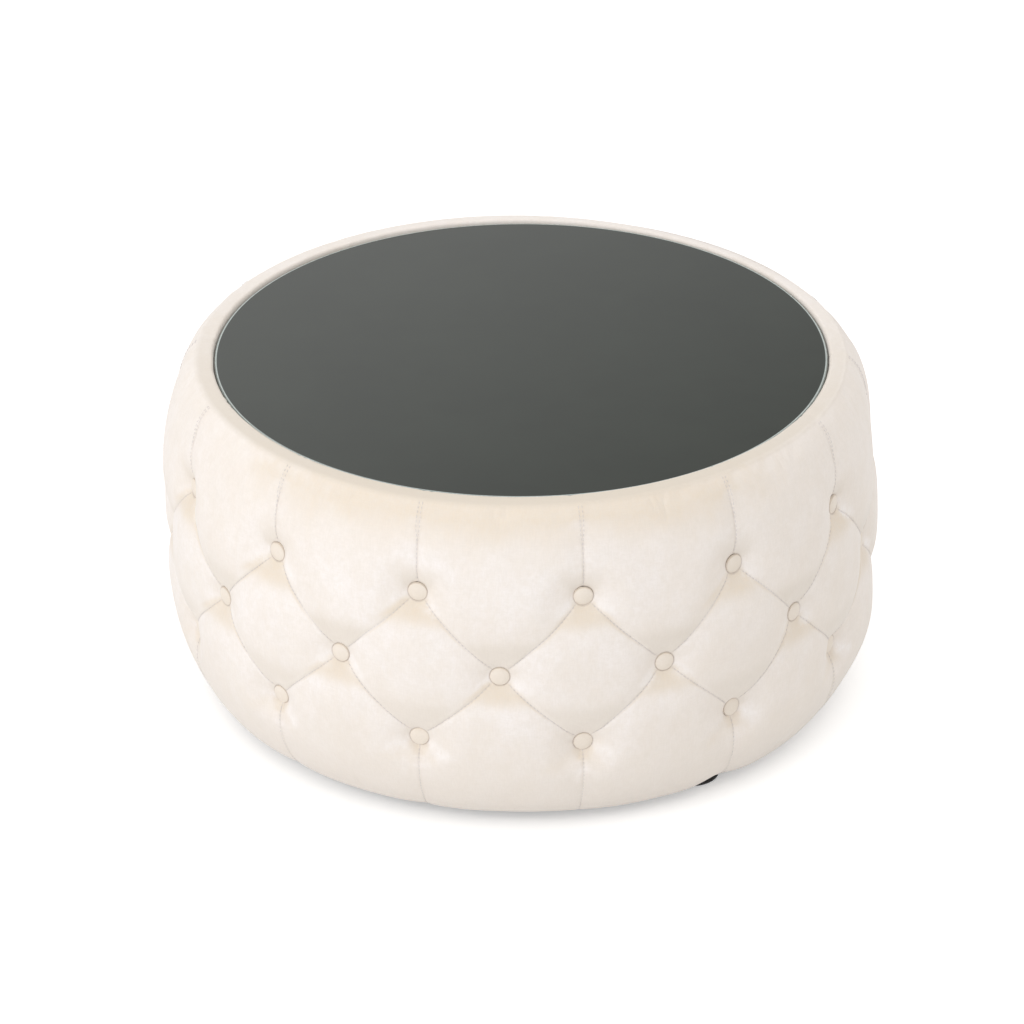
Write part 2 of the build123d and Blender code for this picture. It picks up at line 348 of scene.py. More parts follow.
    def round_buttons(self, x, run):
        """How far the buttons pull the cover in, how near the nearest is, and how deep its seat is."""
        tufts, wide = self.tufts, self.pitch * UNROLLED
        pull, button, seat = np.zeros_like(x), np.ones_like(x), np.zeros_like(x)
        columns = {"upper": (0, wide), "middle": (-wide / 2, wide / 2, 1.5 * wide), "lower": (0, wide)}
        for row, places in columns.items():
            for place in places:
                away = np.hypot(x - place, run - self.row_runs[row])
                broad = np.clip(1 - away / tufts.pull_reach, 0, 1) ** 2
                tight = np.exp(-np.clip(away - BUTTON_RADIUS, 0, None) / tufts.pull_tight)
                strength = tufts.tight_share * tight + (1 - tufts.tight_share) * broad
                pull = np.maximum(pull, (self.depths[row] - tufts.seam_depth) * strength)
                seat = np.where(away < button, self.depths[row], seat)
                button = np.minimum(button, away)
        return pull, button, seat

    def tufting(self, angle, run):
        """Depth below the crests, distance to a seam and to a button, how far along the seam, how full
        the cover is, and how firmly it is sewn there."""
        low, wide = self.row_runs["lower"], self.pitch * UNROLLED
        x = ((angle - self.sizes.first_angle) / self.pitch % 1.0) * wide
        rim_fade = smooth((run - self.fold_run - 0.002) / 0.04)
        hem_fade = 1 - 0.6 * smooth((run - low) / (self.skirt_run - low))
        full, free, near, along = self.between_seams(x, run, rim_fade, hem_fade)
        pull, button, seat = self.round_buttons(x, run)
        near_button = np.exp(-np.clip(button - BUTTON_RADIUS, 0, None) / 0.012)
        depth = self.tufts.seam_depth * (1 - full) + pull * (1 - free * (1 - 0.55 * near_button))
        against, soft = seat - self.tufts.hug_height, 0.0012
        depth = against - soft * np.logaddexp(0, (against - depth) / soft)
        lying = 1 - smooth((button - 0.008) / 0.0055)
        depth = depth + (against - depth) * lying
        return depth, near, button, along, full, rim_fade * hem_fade

    def settled(self, angle, z):
        """How far hand filling and use have moved the cover out from its even form."""
        swell = np.zeros_like(angle)
        for middle, width, height, reach, out in SETTLING:
            swell += out * about(angle, middle, width) * bell(z - height, reach)
        return swell


SETTLING = (
    (50, 45, 0.045, 0.05, 0.0058), (-97, 32, 0.265, 0.07, 0.0062), (97, 14, 0.33, 0.025, 0.0034),
    (138, 33, 0.35, 0.035, -0.0048), (-62, 25, 0.04, 0.04, 0.0012), (82, 17, 0.075, 0.05, 0.0046),
    (-97, 18, 0.165, 0.025, 0.0035), (97, 16, 0.155, 0.024, 0.0036),
)
"""Angle, half width, height, reach and outward push of each fuller or flatter place."""

RIM_DIPS = ((140, 42), (-8, 34))
"""Angle and half width of each place where the rim lies lower."""

FOOT_PULL = (34.7, 3.9, 0.0061)
"""Angle, half width and height of the place where the hem is pulled up over a foot."""

LIP_FOLDS = (
    (6.2, 0.8, -0.0007, 0.0), (8.7, 0.9, 0.0009, 0.0002), (10.6, 0.7, -0.0005, 0.0),
    (52, 1.1, 0.0008, 0.0007), (56, 0.9, -0.0005, 0.0), (61, 1.2, 0.001, 0.0014),
    (64.5, 0.9, 0.0, 0.0008), (83, 1.0, 0.0008, 0.0011), (87.5, 0.8, -0.0004, -0.0004),
    (91, 0.9, 0.001, 0.0016), (96.5, 1.1, 0.0005, 0.0012), (-38, 1.4, 0.0006, 0.0003),
    (-70, 1.2, 0.0006, 0.0004), (128, 1.1, 0.0007, 0.0005), (176, 1.0, 0.0006, 0.0004),
    (-142, 1.3, 0.0007, 0.0005),
)
"""Angle, half width, outward push and dip of each small fold of the lip."""


def smooth(t):
    """An even step from 0 to 1."""
    t = np.clip(t, 0, 1)
    return t * t * (3 - 2 * t)


def ripple(angle, run, lengths, seed):
    """Seeded unevenness from -1 to 1 that closes round the drum, its waves between two lengths."""
    chance, waves = np.random.default_rng(seed), 9
    total = np.zeros_like(angle)
    for _ in range(waves):
        wave = 2 * pi / chance.uniform(*lengths)
        lean = chance.uniform(0, 2 * pi)
        turns = round(wave * UNROLLED * cos(lean))
        total += np.cos(turns * angle + wave * sin(lean) * run + chance.uniform(0, 2 * pi))
    return total / (waves / 2)


# Mesh helpers


def piece(name, mesh, material, body, finish, *stands_for):
    """A finished piece at the origin that rides on a body."""
    made = bpy.data.objects.new(name, mesh)
    bpy.context.scene.collection.objects.link(made)
    mesh.materials.clear()
    mesh.materials.append(material)
    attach(made, body)
    if stands_for:
        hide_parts(*stands_for)
    return made


def bridge(form, rings):
    """Faces between each ring of points and the next; a ring of one point is a tip."""
    for first, second in zip(rings, rings[1:]):
        count = max(len(first), len(second))
        for step in range(count):
            after = (step + 1) % count
            corners = [ring[place % len(ring)] for ring, place in (
                (first, step), (first, after), (second, after), (second, step)
            )]
            corners = list(dict.fromkeys(corners))
            if len(corners) > 2:
                form.faces.new(corners)


def made_mesh(name, form):
    """The form as a smooth mesh with its faces outward."""
    bmesh.ops.recalc_face_normals(form, faces=form.faces)
    mesh = bpy.data.meshes.new(name)
    form.to_mesh(mesh)
    form.free()
    mesh.shade_smooth()
    return mesh


def lathe(name, outline, count, wobble=None):
    """A turned form round +Z from (radius, height) points, closed at the axis or at its first point."""
    form, rings, axis = bmesh.new(), [], 1e-7
    for number, (radius, z) in enumerate(outline):
        if number and (radius, z) == outline[0] and radius > axis:
            rings.append(rings[0])
            continue
        if radius < axis:
            rings.append([form.verts.new((0, 0, z))])
            continue
        ring = []
        for step in range(count):
            turn = 2 * pi * step / count
            reach = radius * (1 + (wobble(number, turn) if wobble else 0))
            ring.append(form.verts.new((reach * cos(turn), reach * sin(turn), z)))
        rings.append(ring)
    bridge(form, rings)
    return made_mesh(name, form)


def bent_wire(name, path, thick, sides=6):
    """A wire through (x, z) points, closed at its ends."""
    form, rings = bmesh.new(), []
    turns = [2 * pi * step / sides for step in range(sides)]
    for number, (x, z) in enumerate(path):
        before, after = path[max(number - 1, 0)], path[min(number + 1, len(path) - 1)]
        along = Vector((after[0] - before[0], 0, after[1] - before[1])).normalized()
        over, centre = along.cross(Vector((0, 1, 0))), Vector((x, 0, z))
        rings.append([
            form.verts.new(centre + thick * (Vector((0, cos(t), 0)) + over * sin(t))) for t in turns
        ])
    bridge(form, rings)
    for end in (rings[0], rings[-1]):
        form.faces.new(end)
    return made_mesh(name, form)


def closed_ring(name, angles, radius, z):
    """A ring closed both ways, from the radius and height of each section point at each angle."""
    turn = angles[:, None]
    points = np.stack([radius * np.sin(turn), -radius * np.cos(turn), z], axis=-1)
    form = bmesh.new()
    rings = [[form.verts.new(point) for point in section] for section in points]
    count, size = radius.shape
    for step in range(count):
        first, second = rings[step], rings[(step + 1) % count]
        for k in range(size):
            after = (k + 1) % size
            form.faces.new([first[k], second[k], second[after], first[after]])
    return made_mesh(name, form)


def applied(made):
    """The object's mesh with its modifiers worked in."""
    bpy.context.view_layer.update()
    graph = bpy.context.evaluated_depsgraph_get()
    mesh = bpy.data.meshes.new_from_object(made.evaluated_get(graph))
    made.modifiers.clear()
    return mesh


def set_input(modifier, tree, name, value):
    """Sets a modifier's input by its socket's identifier."""
    for item in tree.interface.items_tree:
        if item.item_type == "SOCKET" and item.in_out == "INPUT" and item.name == name:
            modifier[item.identifier] = value
            return
    raise RuntimeError(f"the node tree has no input {name}")


# Node helpers


def add(tree, kind, settings=None, **inputs):
    """A node with its settings, and inputs given as values or as another node's output."""
    made = tree.nodes.new(kind)
    for key, value in (settings or {}).items():
        setattr(made, key, value)
    for key, value in inputs.items():
        put(tree, made, key.replace("_", " "), value)
    return made


def put(tree, made, key, value):
    """Links or sets one input, by its name or its number."""
    if key.startswith("at") and key[2:].isdigit():
        socket = made.inputs[int(key[2:])]
    else:
        socket = made.inputs[key]
    if isinstance(value, bpy.types.NodeSocket):
        tree.links.new(value, socket)
    elif value is not None:
        if hasattr(socket.default_value, "__len__") and len(socket.default_value) == 4 and len(value) == 3:
            value = (*value, 1.0)
        socket.default_value = value


def maths(tree, operation, first, second=None):
    """One step of arithmetic."""
    return add(tree, "ShaderNodeMath", {"operation": operation}, at0=first, at1=second).outputs[0]


def times(tree, first, second):
    """Two values multiplied."""
    return maths(tree, "MULTIPLY", first, second)


def plus(tree, first, second):
    """Two values added."""
    return maths(tree, "ADD", first, second)


def apart(tree, vector):
    """The three parts of a vector."""
    return add(tree, "ShaderNodeSeparateXYZ", Vector=vector).outputs


def facing(tree):
    """The three parts of the direction that the surface faces."""
    return apart(tree, add(tree, "ShaderNodeNewGeometry").outputs["Normal"])


def marked(tree, name):
    """A value that the mesh carries at its points."""
    return add(tree, "ShaderNodeAttribute", {"attribute_name": name}).outputs["Fac"]


def ramp(tree, value, low, high, to_low=0.0, to_high=1.0):
    """A value carried from one range to another, held at the ends."""
    made = add(tree, "ShaderNodeMapRange", {"interpolation_type": "SMOOTHSTEP"})
    for number, item in enumerate((value, low, high, to_low, to_high)):
        put(tree, made, f"at{number}", item)
    return made.outputs[0]


def mixed(tree, amount, first, second):
    """Two colours mixed."""
    made = add(tree, "ShaderNodeMix", {"data_type": "RGBA", "clamp_result": True})
    for number, value in ((0, amount), (6, first), (7, second)):
        put(tree, made, f"at{number}", value)
    return made.outputs[2]


def washed(tree, colour, mask, most, over):
    """A colour with another over it where a mask says, up to a share."""
    return mixed(tree, ramp(tree, mask, 0.0, 1.0, 0.0, most), colour, over)


def shaded(colour, amount):
    """A colour made darker or paler."""
    return tuple(part * amount for part in colour)


def mixed_value(tree, amount, first, second):
    """Two values mixed."""
    return add(tree, "ShaderNodeMix", {"data_type": "FLOAT"}, at0=amount, at2=first, at3=second).outputs[0]


def cloud(tree, vector, scale, detail=4.0, roughness=0.55):
    """Soft noise as a value."""
    made = add(tree, "ShaderNodeTexNoise", Vector=vector, Scale=scale, Detail=detail, Roughness=roughness)
    return made.outputs[0]


def stretched(tree, vector, scale, turn=(0.0, 0.0, 0.0)):
    """Coordinates drawn out or pressed together on each axis."""
    return add(tree, "ShaderNodeMapping", Vector=vector, Scale=scale, Rotation=turn).outputs[0]


def effect(name, **values):
    """An empty node group that takes a vector and values, and puts out a mask and a height."""
    tree = bpy.data.node_groups.new(name, "ShaderNodeTree")
    tree.interface.new_socket("Vector", in_out="INPUT", socket_type="NodeSocketVector")
    for label, value in values.items():
        socket = tree.interface.new_socket(label, in_out="INPUT", socket_type="NodeSocketFloat")
        socket.default_value = value
    for label in ("Mask", "Height"):
        tree.interface.new_socket(label, in_out="OUTPUT", socket_type="NodeSocketFloat")
    return tree, tree.nodes.new("NodeGroupInput").outputs


def put_out(tree, mask, height):
    """Ends an effect."""
    add(tree, "NodeGroupOutput", Mask=mask, Height=height)
    return tree


def fibre_effect():
    """Fine fibres or threads: a mask and a height from crossed streaks."""
    tree, given = effect("Fibres", Spacing=0.001, Draw=6.0, Cross=0.5)
    rate = maths(tree, "DIVIDE", 1.0, given["Spacing"])
    slow = maths(tree, "DIVIDE", rate, given["Draw"])
    streaks = []
    for across, down in ((rate, slow), (slow, rate)):
        scale = add(tree, "ShaderNodeCombineXYZ", X=across, Y=down, Z=across).outputs[0]
        drawn = add(
            tree, "ShaderNodeVectorMath", {"operation": "MULTIPLY"}, at0=given["Vector"], at1=scale
        )
        streaks.append(cloud(tree, drawn.outputs[0], 1.0, 2.0))
    total = plus(tree, streaks[0], times(tree, streaks[1], given["Cross"]))
    height = maths(tree, "DIVIDE", total, plus(tree, given["Cross"], 1.0))
    return put_out(tree, ramp(tree, height, 0.35, 0.65), height)


def mottle_effect():
    """Large soft patches broken by smaller ones, as in brushed cloth or handled plastic."""
    tree, given = effect("Mottling", Patch=0.1, Contrast=0.15)
    rate = maths(tree, "DIVIDE", 1.0, given["Patch"])
    broad = cloud(tree, given["Vector"], rate, 3.0)
    close = cloud(tree, given["Vector"], times(tree, rate, 5.0), 4.0, 0.6)
    height = plus(tree, times(tree, broad, 0.65), times(tree, close, 0.35))
    low, high = maths(tree, "SUBTRACT", 0.5, given["Contrast"]), plus(tree, 0.5, given["Contrast"])
    return put_out(tree, ramp(tree, height, low, high), height)


def wood_effect():
    """Wood grain along the vector's Z: rings, streaks and pores."""
    tree, given = effect("Wood grain", Ring=0.008, Bend=0.4)
    rate = maths(tree, "DIVIDE", 1.0, given["Ring"])
    drawn = stretched(tree, given["Vector"], (1.0, 1.0, 0.06))
    waver = times(tree, cloud(tree, drawn, 14.0, 2.0), 9.0)
    across = plus(tree, times(tree, apart(tree, drawn)[0], rate), waver)
    rings = maths(tree, "FRACT", times(tree, across, given["Bend"]))
    pores = cloud(tree, drawn, times(tree, rate, 6.0), 5.0, 0.7)
    mask = plus(tree, times(tree, rings, 0.5), times(tree, pores, 0.5))
    return put_out(tree, ramp(tree, mask, 0.15, 0.85), pores)


def shared(tree, maker, **inputs):
    """A shared effect placed in a material, built the first time it is asked for."""
    names = {fibre_effect: "Fibres", mottle_effect: "Mottling", wood_effect: "Wood grain"}
    group = bpy.data.node_groups.get(names[maker]) or maker()
    return add(tree, "ShaderNodeGroup", {"node_tree": group}, **inputs).outputs


def finish(name, roughness, specular=0.5, **plain):
    """A new material with its shader, and the place on the piece as coordinates."""
    material = bpy.data.materials.new(name)
    material.use_nodes = True
    tree = material.node_tree
    tree.nodes.clear()
    shader = add(
        tree, "ShaderNodeBsdfPrincipled", Roughness=roughness, Specular_IOR_Level=specular, **plain
    )
    add(tree, "ShaderNodeOutputMaterial", at0=shader.outputs[0])
    return material, tree, shader, tree.nodes.new("ShaderNodeTexCoord").outputs["Object"]


def bump(tree, shader, height, distance, strength=1.0, under=None):
    """Relief on the shader, over an earlier one if given."""
    made = add(tree, "ShaderNodeBump", Strength=strength, Distance=distance, Height=height, Normal=under)
    tree.links.new(made.outputs[0], shader.inputs["Normal"])
    return made.outputs[0]


# Finishes


def button_shade_and_highlight(tree, colours, colour, crushed):
    """Painted shade below and above the buttons, and painted highlight streaks beside them."""
    broken = ramp(tree, crushed, 0.0, 1.0, 0.8, 1.0)
    streaked = ramp(tree, crushed, 0.15, 0.75, 0.25, 1.0)
    for mark, streaks, over in (
        ("below", broken, colours.velvet_flat), ("above", broken, colours.velvet_lip_shade),
        ("raised", streaked, colours.velvet_highlight),
    ):
        colour = mixed(tree, times(tree, marked(tree, f"pile_{mark}"), streaks), colour, over)
    return colour


def sewn_velvet(tree, colours, colour, lip):
    """Painted shade on the lip band beside the glass, and painted shade in the seams and round the buttons.
    """
    colour = mixed(tree, lip, colour, colours.velvet_lip_shade)
    # Painted shade along the seams and a painted shadow ring round each button.
    crease = ramp(tree, marked(tree, "seam_near"), 0.0, 0.0012, 0.17, 0.0)
    crease = times(tree, crease, marked(tree, "seam_held"))
    edge = BUTTON_RADIUS + 0.0002
    shadow = ramp(tree, marked(tree, "button_near"), edge, edge + 0.0012, 0.42, 0.0)
    return mixed(tree, maths(tree, "MAXIMUM", crease, shadow), colour, (0.48, 0.42, 0.38))


def puckers(tree):
    """Small puckers along the seams, one for each stitch, as a height."""
    pucker = maths(tree, "SINE", times(tree, marked(tree, "seam_along"), 2 * pi / STITCH_PITCH))
    return times(tree, pucker, ramp(tree, marked(tree, "seam_near"), 0.0006, 0.005, 1.0, 0.0))


def velvet_finish(colours, name, seams, fold_run=0.0):
    """Ivory velvet with random patches and painted light: beige painted shade on faces that look up or turn
    aside, painted shade on faces that look down, and a painted highlight on upright ones.
    """
    material, tree, shader, place = finish(
        name, 0.82, 0.2, Sheen_Weight=0.45, Sheen_Roughness=0.4, Sheen_Tint=(1.0, 0.97, 0.955)
    )
    brushed = stretched(tree, place, (1.0, 1.0, 0.6))
    patches = shared(tree, mottle_effect, Vector=brushed, Patch=0.06, Contrast=0.2)
    crushed = shared(tree, mottle_effect, Vector=place, Patch=0.012, Contrast=0.2)
    specks = shared(tree, mottle_effect, Vector=place, Patch=0.0048, Contrast=0.16)
    stroked = stretched(tree, place, (1.2, 1.2, 0.8))
    handled = shared(tree, mottle_effect, Vector=stroked, Patch=0.03, Contrast=0.13)
    cloth = add(tree, "ShaderNodeUVMap", {"uv_map": "cloth"}).outputs[0] if seams else place
    grain = shared(tree, fibre_effect, Vector=cloth, Spacing=0.0015, Draw=7.0, Cross=0.6)
    faced, where = facing(tree), apart(tree, place)
    uneven = maths(tree, "SUBTRACT", patches["Height"], 0.5)
    # How far a face looks up, broken by the patches: this sets where painted shade and painted highlight
    # go.
    level = plus(tree, faced[2], times(tree, uneven, 0.3))
    # Stronger towards the front of the drum, where the painted beige shade on faces that look up is
    # deepest.
    way = maths(tree, "SUBTRACT", times(tree, uneven, 0.25), where[1])
    towards = ramp(tree, plus(tree, times(tree, where[0], -0.05), way), 0.2, 0.305, 0.1, 1.0)
    lip_towards = ramp(tree, plus(tree, times(tree, where[0], -0.1), way), -0.25, 0.25)
    towards = mixed_value(tree, ramp(tree, where[2], 0.295, 0.325), 1.0, towards)
    # Painted highlight on faces that are upright or look a little up, mixed with random pale patches.
    raised = ramp(tree, level, -0.1, 0.2)
    pale = plus(tree, times(tree, patches["Mask"], 0.45), times(tree, raised, 0.55))
    colour = mixed(tree, pale, colours.velvet, colours.velvet_light)
    # Painted beige shade on faces turned to the right, away from the key light, and on upper faces turned
    # to the left, where the key light falls hardest.
    from_right = ramp(tree, plus(tree, faced[0], times(tree, uneven, 0.5)), 0.0, 0.9, 0.0, 0.3)
    from_left = ramp(tree, times(tree, faced[0], -1.0), 0.25, 0.75, 0.0, 0.17)
    # Painted beige shade on faces that look up, random beige patches, and painted beige shade on faces
    # turned aside.
    for beige in (
        times(tree, ramp(tree, level, 0.18, 0.56, 0.0, 0.92), towards), times(tree, handled["Mask"], 0.2),
        from_right, times(tree, from_left, ramp(tree, where[2], 0.2, 0.28)),
    ):
        colour = mixed(tree, beige, colour, colours.velvet_flat)
    if seams:
        # Painted shade and painted highlight round the buttons.
        colour = button_shade_and_highlight(tree, colours, colour, crushed["Mask"])
    # Painted shade on faces that look down.
    colour = mixed(tree, ramp(tree, level, 0.04, -0.32, 0.0, 0.6), colour, colours.velvet_under)
    for mask in (crushed["Mask"], specks["Mask"]):
        colour = washed(tree, colour, mask, 0.22, colours.velvet_under)
    colour = washed(tree, colour, grain["Mask"], 0.07, (0.62, 0.55, 0.48))
    height = times(tree, grain["Height"], 0.6)
    if seams:
        # Painted shade on the lip band beside the glass, deepest towards the front.
        lip = ramp(tree, apart(tree, cloth)[1], fold_run - 0.006, fold_run + 0.004, 0.8, 0.0)
        lip = times(tree, lip, maths(tree, "MAXIMUM", towards, lip_towards))
        colour = sewn_velvet(tree, colours, colour, lip)
        height = plus(tree, height, times(tree, puckers(tree), 0.35))
    else:
        colour = mixed(tree, 0.6, colour, colours.velvet_button)
        # Painted shade on each button's side ring.
        edge = ramp(tree, marked(tree, "button_edge_shade"), 0.1, 0.9, 0.0, 0.35)
        colour = mixed(tree, edge, colour, (0.48, 0.42, 0.36))
    put(tree, shader, "Base Color", colour)
    relief = bump(tree, shader, patches["Height"], 0.002, 0.3)
    relief = bump(tree, shader, crushed["Height"], 0.0008, 0.5, relief)
    bump(tree, shader, height, 0.0003, 0.6, relief)
    put(tree, shader, "Roughness", ramp(tree, grain["Mask"], 0.0, 1.0, 0.76, 0.9))
    return material


def thread_finish(name, colour):
    """Twisted thread or twine."""
    material, tree, shader, place = finish(name, 0.75, 0.3)
    strands = shared(tree, fibre_effect, Vector=place, Spacing=0.0005, Draw=3.0, Cross=0.4)
    put(tree, shader, "Base Color", mixed(tree, strands["Mask"], shaded(colour, 0.72), colour))
    bump(tree, shader, strands["Height"], 0.0002, 0.5)
    return material


def glass_finish(colours):
    """Dark tinted glass with faint handling marks, a paler ground edge that is partly its own frosted grey
    and partly painted highlight, and a painted highlight ring just inside the edge.
    """
    material, tree, shader, place = finish("Tinted glass", 0.03, IOR=1.5)
    level = maths(tree, "ABSOLUTE", facing(tree)[2])
    ground = ramp(tree, level, 0.97, 0.9)
    marks = shared(tree, mottle_effect, Vector=place, Patch=0.16, Contrast=0.25)
    streaks = shared(tree, fibre_effect, Vector=place, Spacing=0.0009, Draw=2.0, Cross=1.0)
    body = mixed(tree, marks["Mask"], colours.glass, shaded(colours.glass, 1.35))
    # The ground edge: partly the glass's own frosted grey and partly painted highlight.
    edge = mixed(tree, streaks["Mask"], (0.2, 0.23, 0.22), (0.34, 0.38, 0.36))
    # A painted highlight ring just inside the edge of the top.
    painted_glint = mixed(tree, streaks["Mask"], (0.42, 0.47, 0.45), (0.6, 0.65, 0.62))
    flat = stretched(tree, place, (1.0, 1.0, 0.0))
    reach = add(tree, "ShaderNodeVectorMath", {"operation": "LENGTH"}, at0=flat).outputs["Value"]
    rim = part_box("glass_top")[1].x
    body = mixed(tree, ramp(tree, reach, rim - 0.0028, rim - 0.0019), body, painted_glint)
    put(tree, shader, "Base Color", mixed(tree, ground, body, edge))
    polished = ramp(tree, marks["Mask"], 0.0, 1.0, 0.025, 0.045)
    put(tree, shader, "Roughness", plus(tree, polished, times(tree, ground, 0.3)))
    return material


def plastic_finish(colours):
    """Glossy black moulded plastic with handling marks."""
    material, tree, shader, place = finish("Black plastic", 0.22)
    marks = shared(tree, mottle_effect, Vector=place, Patch=0.012, Contrast=0.2)
    scuffs = shared(tree, fibre_effect, Vector=place, Spacing=0.0006, Draw=12.0, Cross=0.3)
    worn = mixed(tree, times(tree, scuffs["Mask"], 0.12), colours.plastic, (0.16, 0.16, 0.16))
    put(tree, shader, "Base Color", worn)
    put(tree, shader, "Roughness", ramp(tree, marks["Mask"], 0.0, 1.0, 0.16, 0.34))
    bump(tree, shader, marks["Height"], 0.0004, 0.25)
    return material


def nonwoven_finish():
    """Black spun cloth with its pressed dimples."""
    material, tree, shader, place = finish("Black non-woven", 0.9, 0.2, Sheen_Weight=0.15)
    fibres = shared(tree, fibre_effect, Vector=place, Spacing=0.0011, Draw=4.0, Cross=0.8)
    dimples = add(tree, "ShaderNodeTexVoronoi", Vector=place, Scale=520.0, Randomness=0.15).outputs[0]
    pressed = ramp(tree, dimples, 0.15, 0.4)
    colour = mixed(tree, fibres["Mask"], (0.016, 0.016, 0.017), (0.045, 0.045, 0.048))
    put(tree, shader, "Base Color", mixed(tree, pressed, (0.008, 0.008, 0.009), colour))
    bump(tree, shader, plus(tree, pressed, fibres["Height"]), 0.0003, 0.7)
    return material


def plywood_finish(colours):
    """Plywood: a birch face, and its layers where it was cut."""
    material, tree, shader, place = finish("Plywood", 0.7, 0.3)
    lying, layer_pair = stretched(tree, place, (1.0, 1.0, 1.0), (0.0, pi / 2, 0.0)), 0.003
    grain = shared(tree, wood_effect, Vector=lying, Ring=0.011, Bend=0.5)
    face = mixed(tree, grain["Mask"], shaded(colours.plywood, 0.78), colours.plywood)
    layer = maths(tree, "FRACT", times(tree, apart(tree, place)[2], 1 / layer_pair))
    specks = shared(tree, fibre_effect, Vector=place, Spacing=0.0012, Draw=5.0, Cross=0.5)
    dark = times(tree, ramp(tree, layer, 0.42, 0.5), ramp(tree, specks["Mask"], 0, 1, 0.7, 1.0))
    cut = mixed(tree, dark, (0.7, 0.53, 0.34), (0.33, 0.21, 0.12))
    level = maths(tree, "ABSOLUTE", facing(tree)[2])
    put(tree, shader, "Base Color", mixed(tree, ramp(tree, level, 0.6, 0.4), face, cut))
    bump(tree, shader, grain["Height"], 0.0004, 0.4)
    return material


def pine_finish(colours):
    """Raw pine with its grain along the post."""
    material, tree, shader, place = finish("Pine", 0.68, 0.3)
    grain = shared(tree, wood_effect, Vector=place, Ring=0.006, Bend=0.45)
    put(tree, shader, "Base Color", mixed(tree, grain["Mask"], shaded(colours.pine, 0.66), colours.pine))
    bump(tree, shader, grain["Height"], 0.0005, 0.5)
    return material


def card_finish():
    """Grey-brown upholstery card with flecks."""
    material, tree, shader, place = finish("Upholstery card", 0.85, 0.2)
    fibres = shared(tree, fibre_effect, Vector=place, Spacing=0.0014, Draw=4.0, Cross=0.9)
    stains = shared(tree, mottle_effect, Vector=place, Patch=0.12, Contrast=0.25)
    colour = mixed(tree, fibres["Mask"], (0.4, 0.34, 0.27), (0.55, 0.48, 0.39))
    colour = mixed(tree, times(tree, stains["Mask"], 0.2), colour, (0.32, 0.27, 0.21))
    put(tree, shader, "Base Color", colour)
    bump(tree, shader, fibres["Height"], 0.0003, 0.5)
    return material


def foam_finish():
    """Cut cream foam with open cells, with painted shade in each cell's hollow."""
    material, tree, shader, place = finish("Upholstery foam", 0.95, 0.1)
    cells = add(tree, "ShaderNodeTexVoronoi", Vector=place, Scale=650.0).outputs[0]
    aged = shared(tree, mottle_effect, Vector=place, Patch=0.1, Contrast=0.25)
    colour = mixed(tree, aged["Mask"], (0.86, 0.82, 0.68), (0.8, 0.72, 0.5))
    # Painted shade in the hollows of the open cells.
    colour = mixed(tree, ramp(tree, cells, 0.0, 0.3, 0.45, 0.0), colour, (0.5, 0.45, 0.32))
    put(tree, shader, "Base Color", colour)
    bump(tree, shader, cells, 0.0008, 0.7)
    return material


def steel_finish(name):
    """Zinc-plated steel, brushed and a little dull."""
    material, tree, shader, place = finish(name, 0.35, Metallic=1.0)
    marks = shared(tree, mottle_effect, Vector=place, Patch=0.004, Contrast=0.2)
    scuffs = shared(tree, fibre_effect, Vector=place, Spacing=0.0003, Draw=10.0, Cross=0.2)
    put(tree, shader, "Base Color", mixed(tree, marks["Mask"], (0.5, 0.5, 0.47), (0.66, 0.65, 0.6)))
    put(tree, shader, "Roughness", ramp(tree, scuffs["Mask"], 0.0, 1.0, 0.25, 0.5))
    bump(tree, shader, scuffs["Height"], 0.0001, 0.4)
    return material


def pad_finish():
    """Clear soft bumper, faintly clouded."""
    material, tree, shader, place = finish("Clear bumper", 0.18, Transmission_Weight=0.85, IOR=1.45)
    haze = shared(tree, mottle_effect, Vector=place, Patch=0.004, Contrast=0.25)
    put(tree, shader, "Base Color", mixed(tree, haze["Mask"], (0.78, 0.8, 0.8), (0.9, 0.91, 0.91)))
    put(tree, shader, "Roughness", ramp(tree, haze["Mask"], 0.0, 1.0, 0.12, 0.3))
    return material


# Velvet cover


HALF_SEAM = np.array([0, 2, 4.6, 7.6, 9.4, 11.4, 15, 22, 32, 45, 60]) / 120
SEAM_SHARES = np.concatenate([HALF_SEAM, 1 - HALF_SEAM[-2::-1]])
"""Steps along a seam as shares of its length, closer together at both buttons."""

PANEL_STEPS = np.array([0, 2, 4.6, 7.6, 9.4, 11.4, 15, 22]) / 1000
PANEL_SHARES = np.array([0.12, 0.28, 0.46, 0.64, 0.82, 1.0])
"""Steps from the diamonds' edge into a panel, in metres, and then as shares of the rest of it."""


def ringed(angle, run, steps, place):
    """Grid points near a button moved onto rings round it, by how many steps they are from it."""
    x, y = (angle - place[0]) * UNROLLED, run - place[1]
    away = np.hypot(x, y)
    wanted = steps + (away - steps) * smooth((steps - 0.013) / 0.014)
    scale = np.where(away > TINY, wanted / np.maximum(away, TINY), 1.0)
    return place[0] + x * scale / UNROLLED, place[1] + y * scale


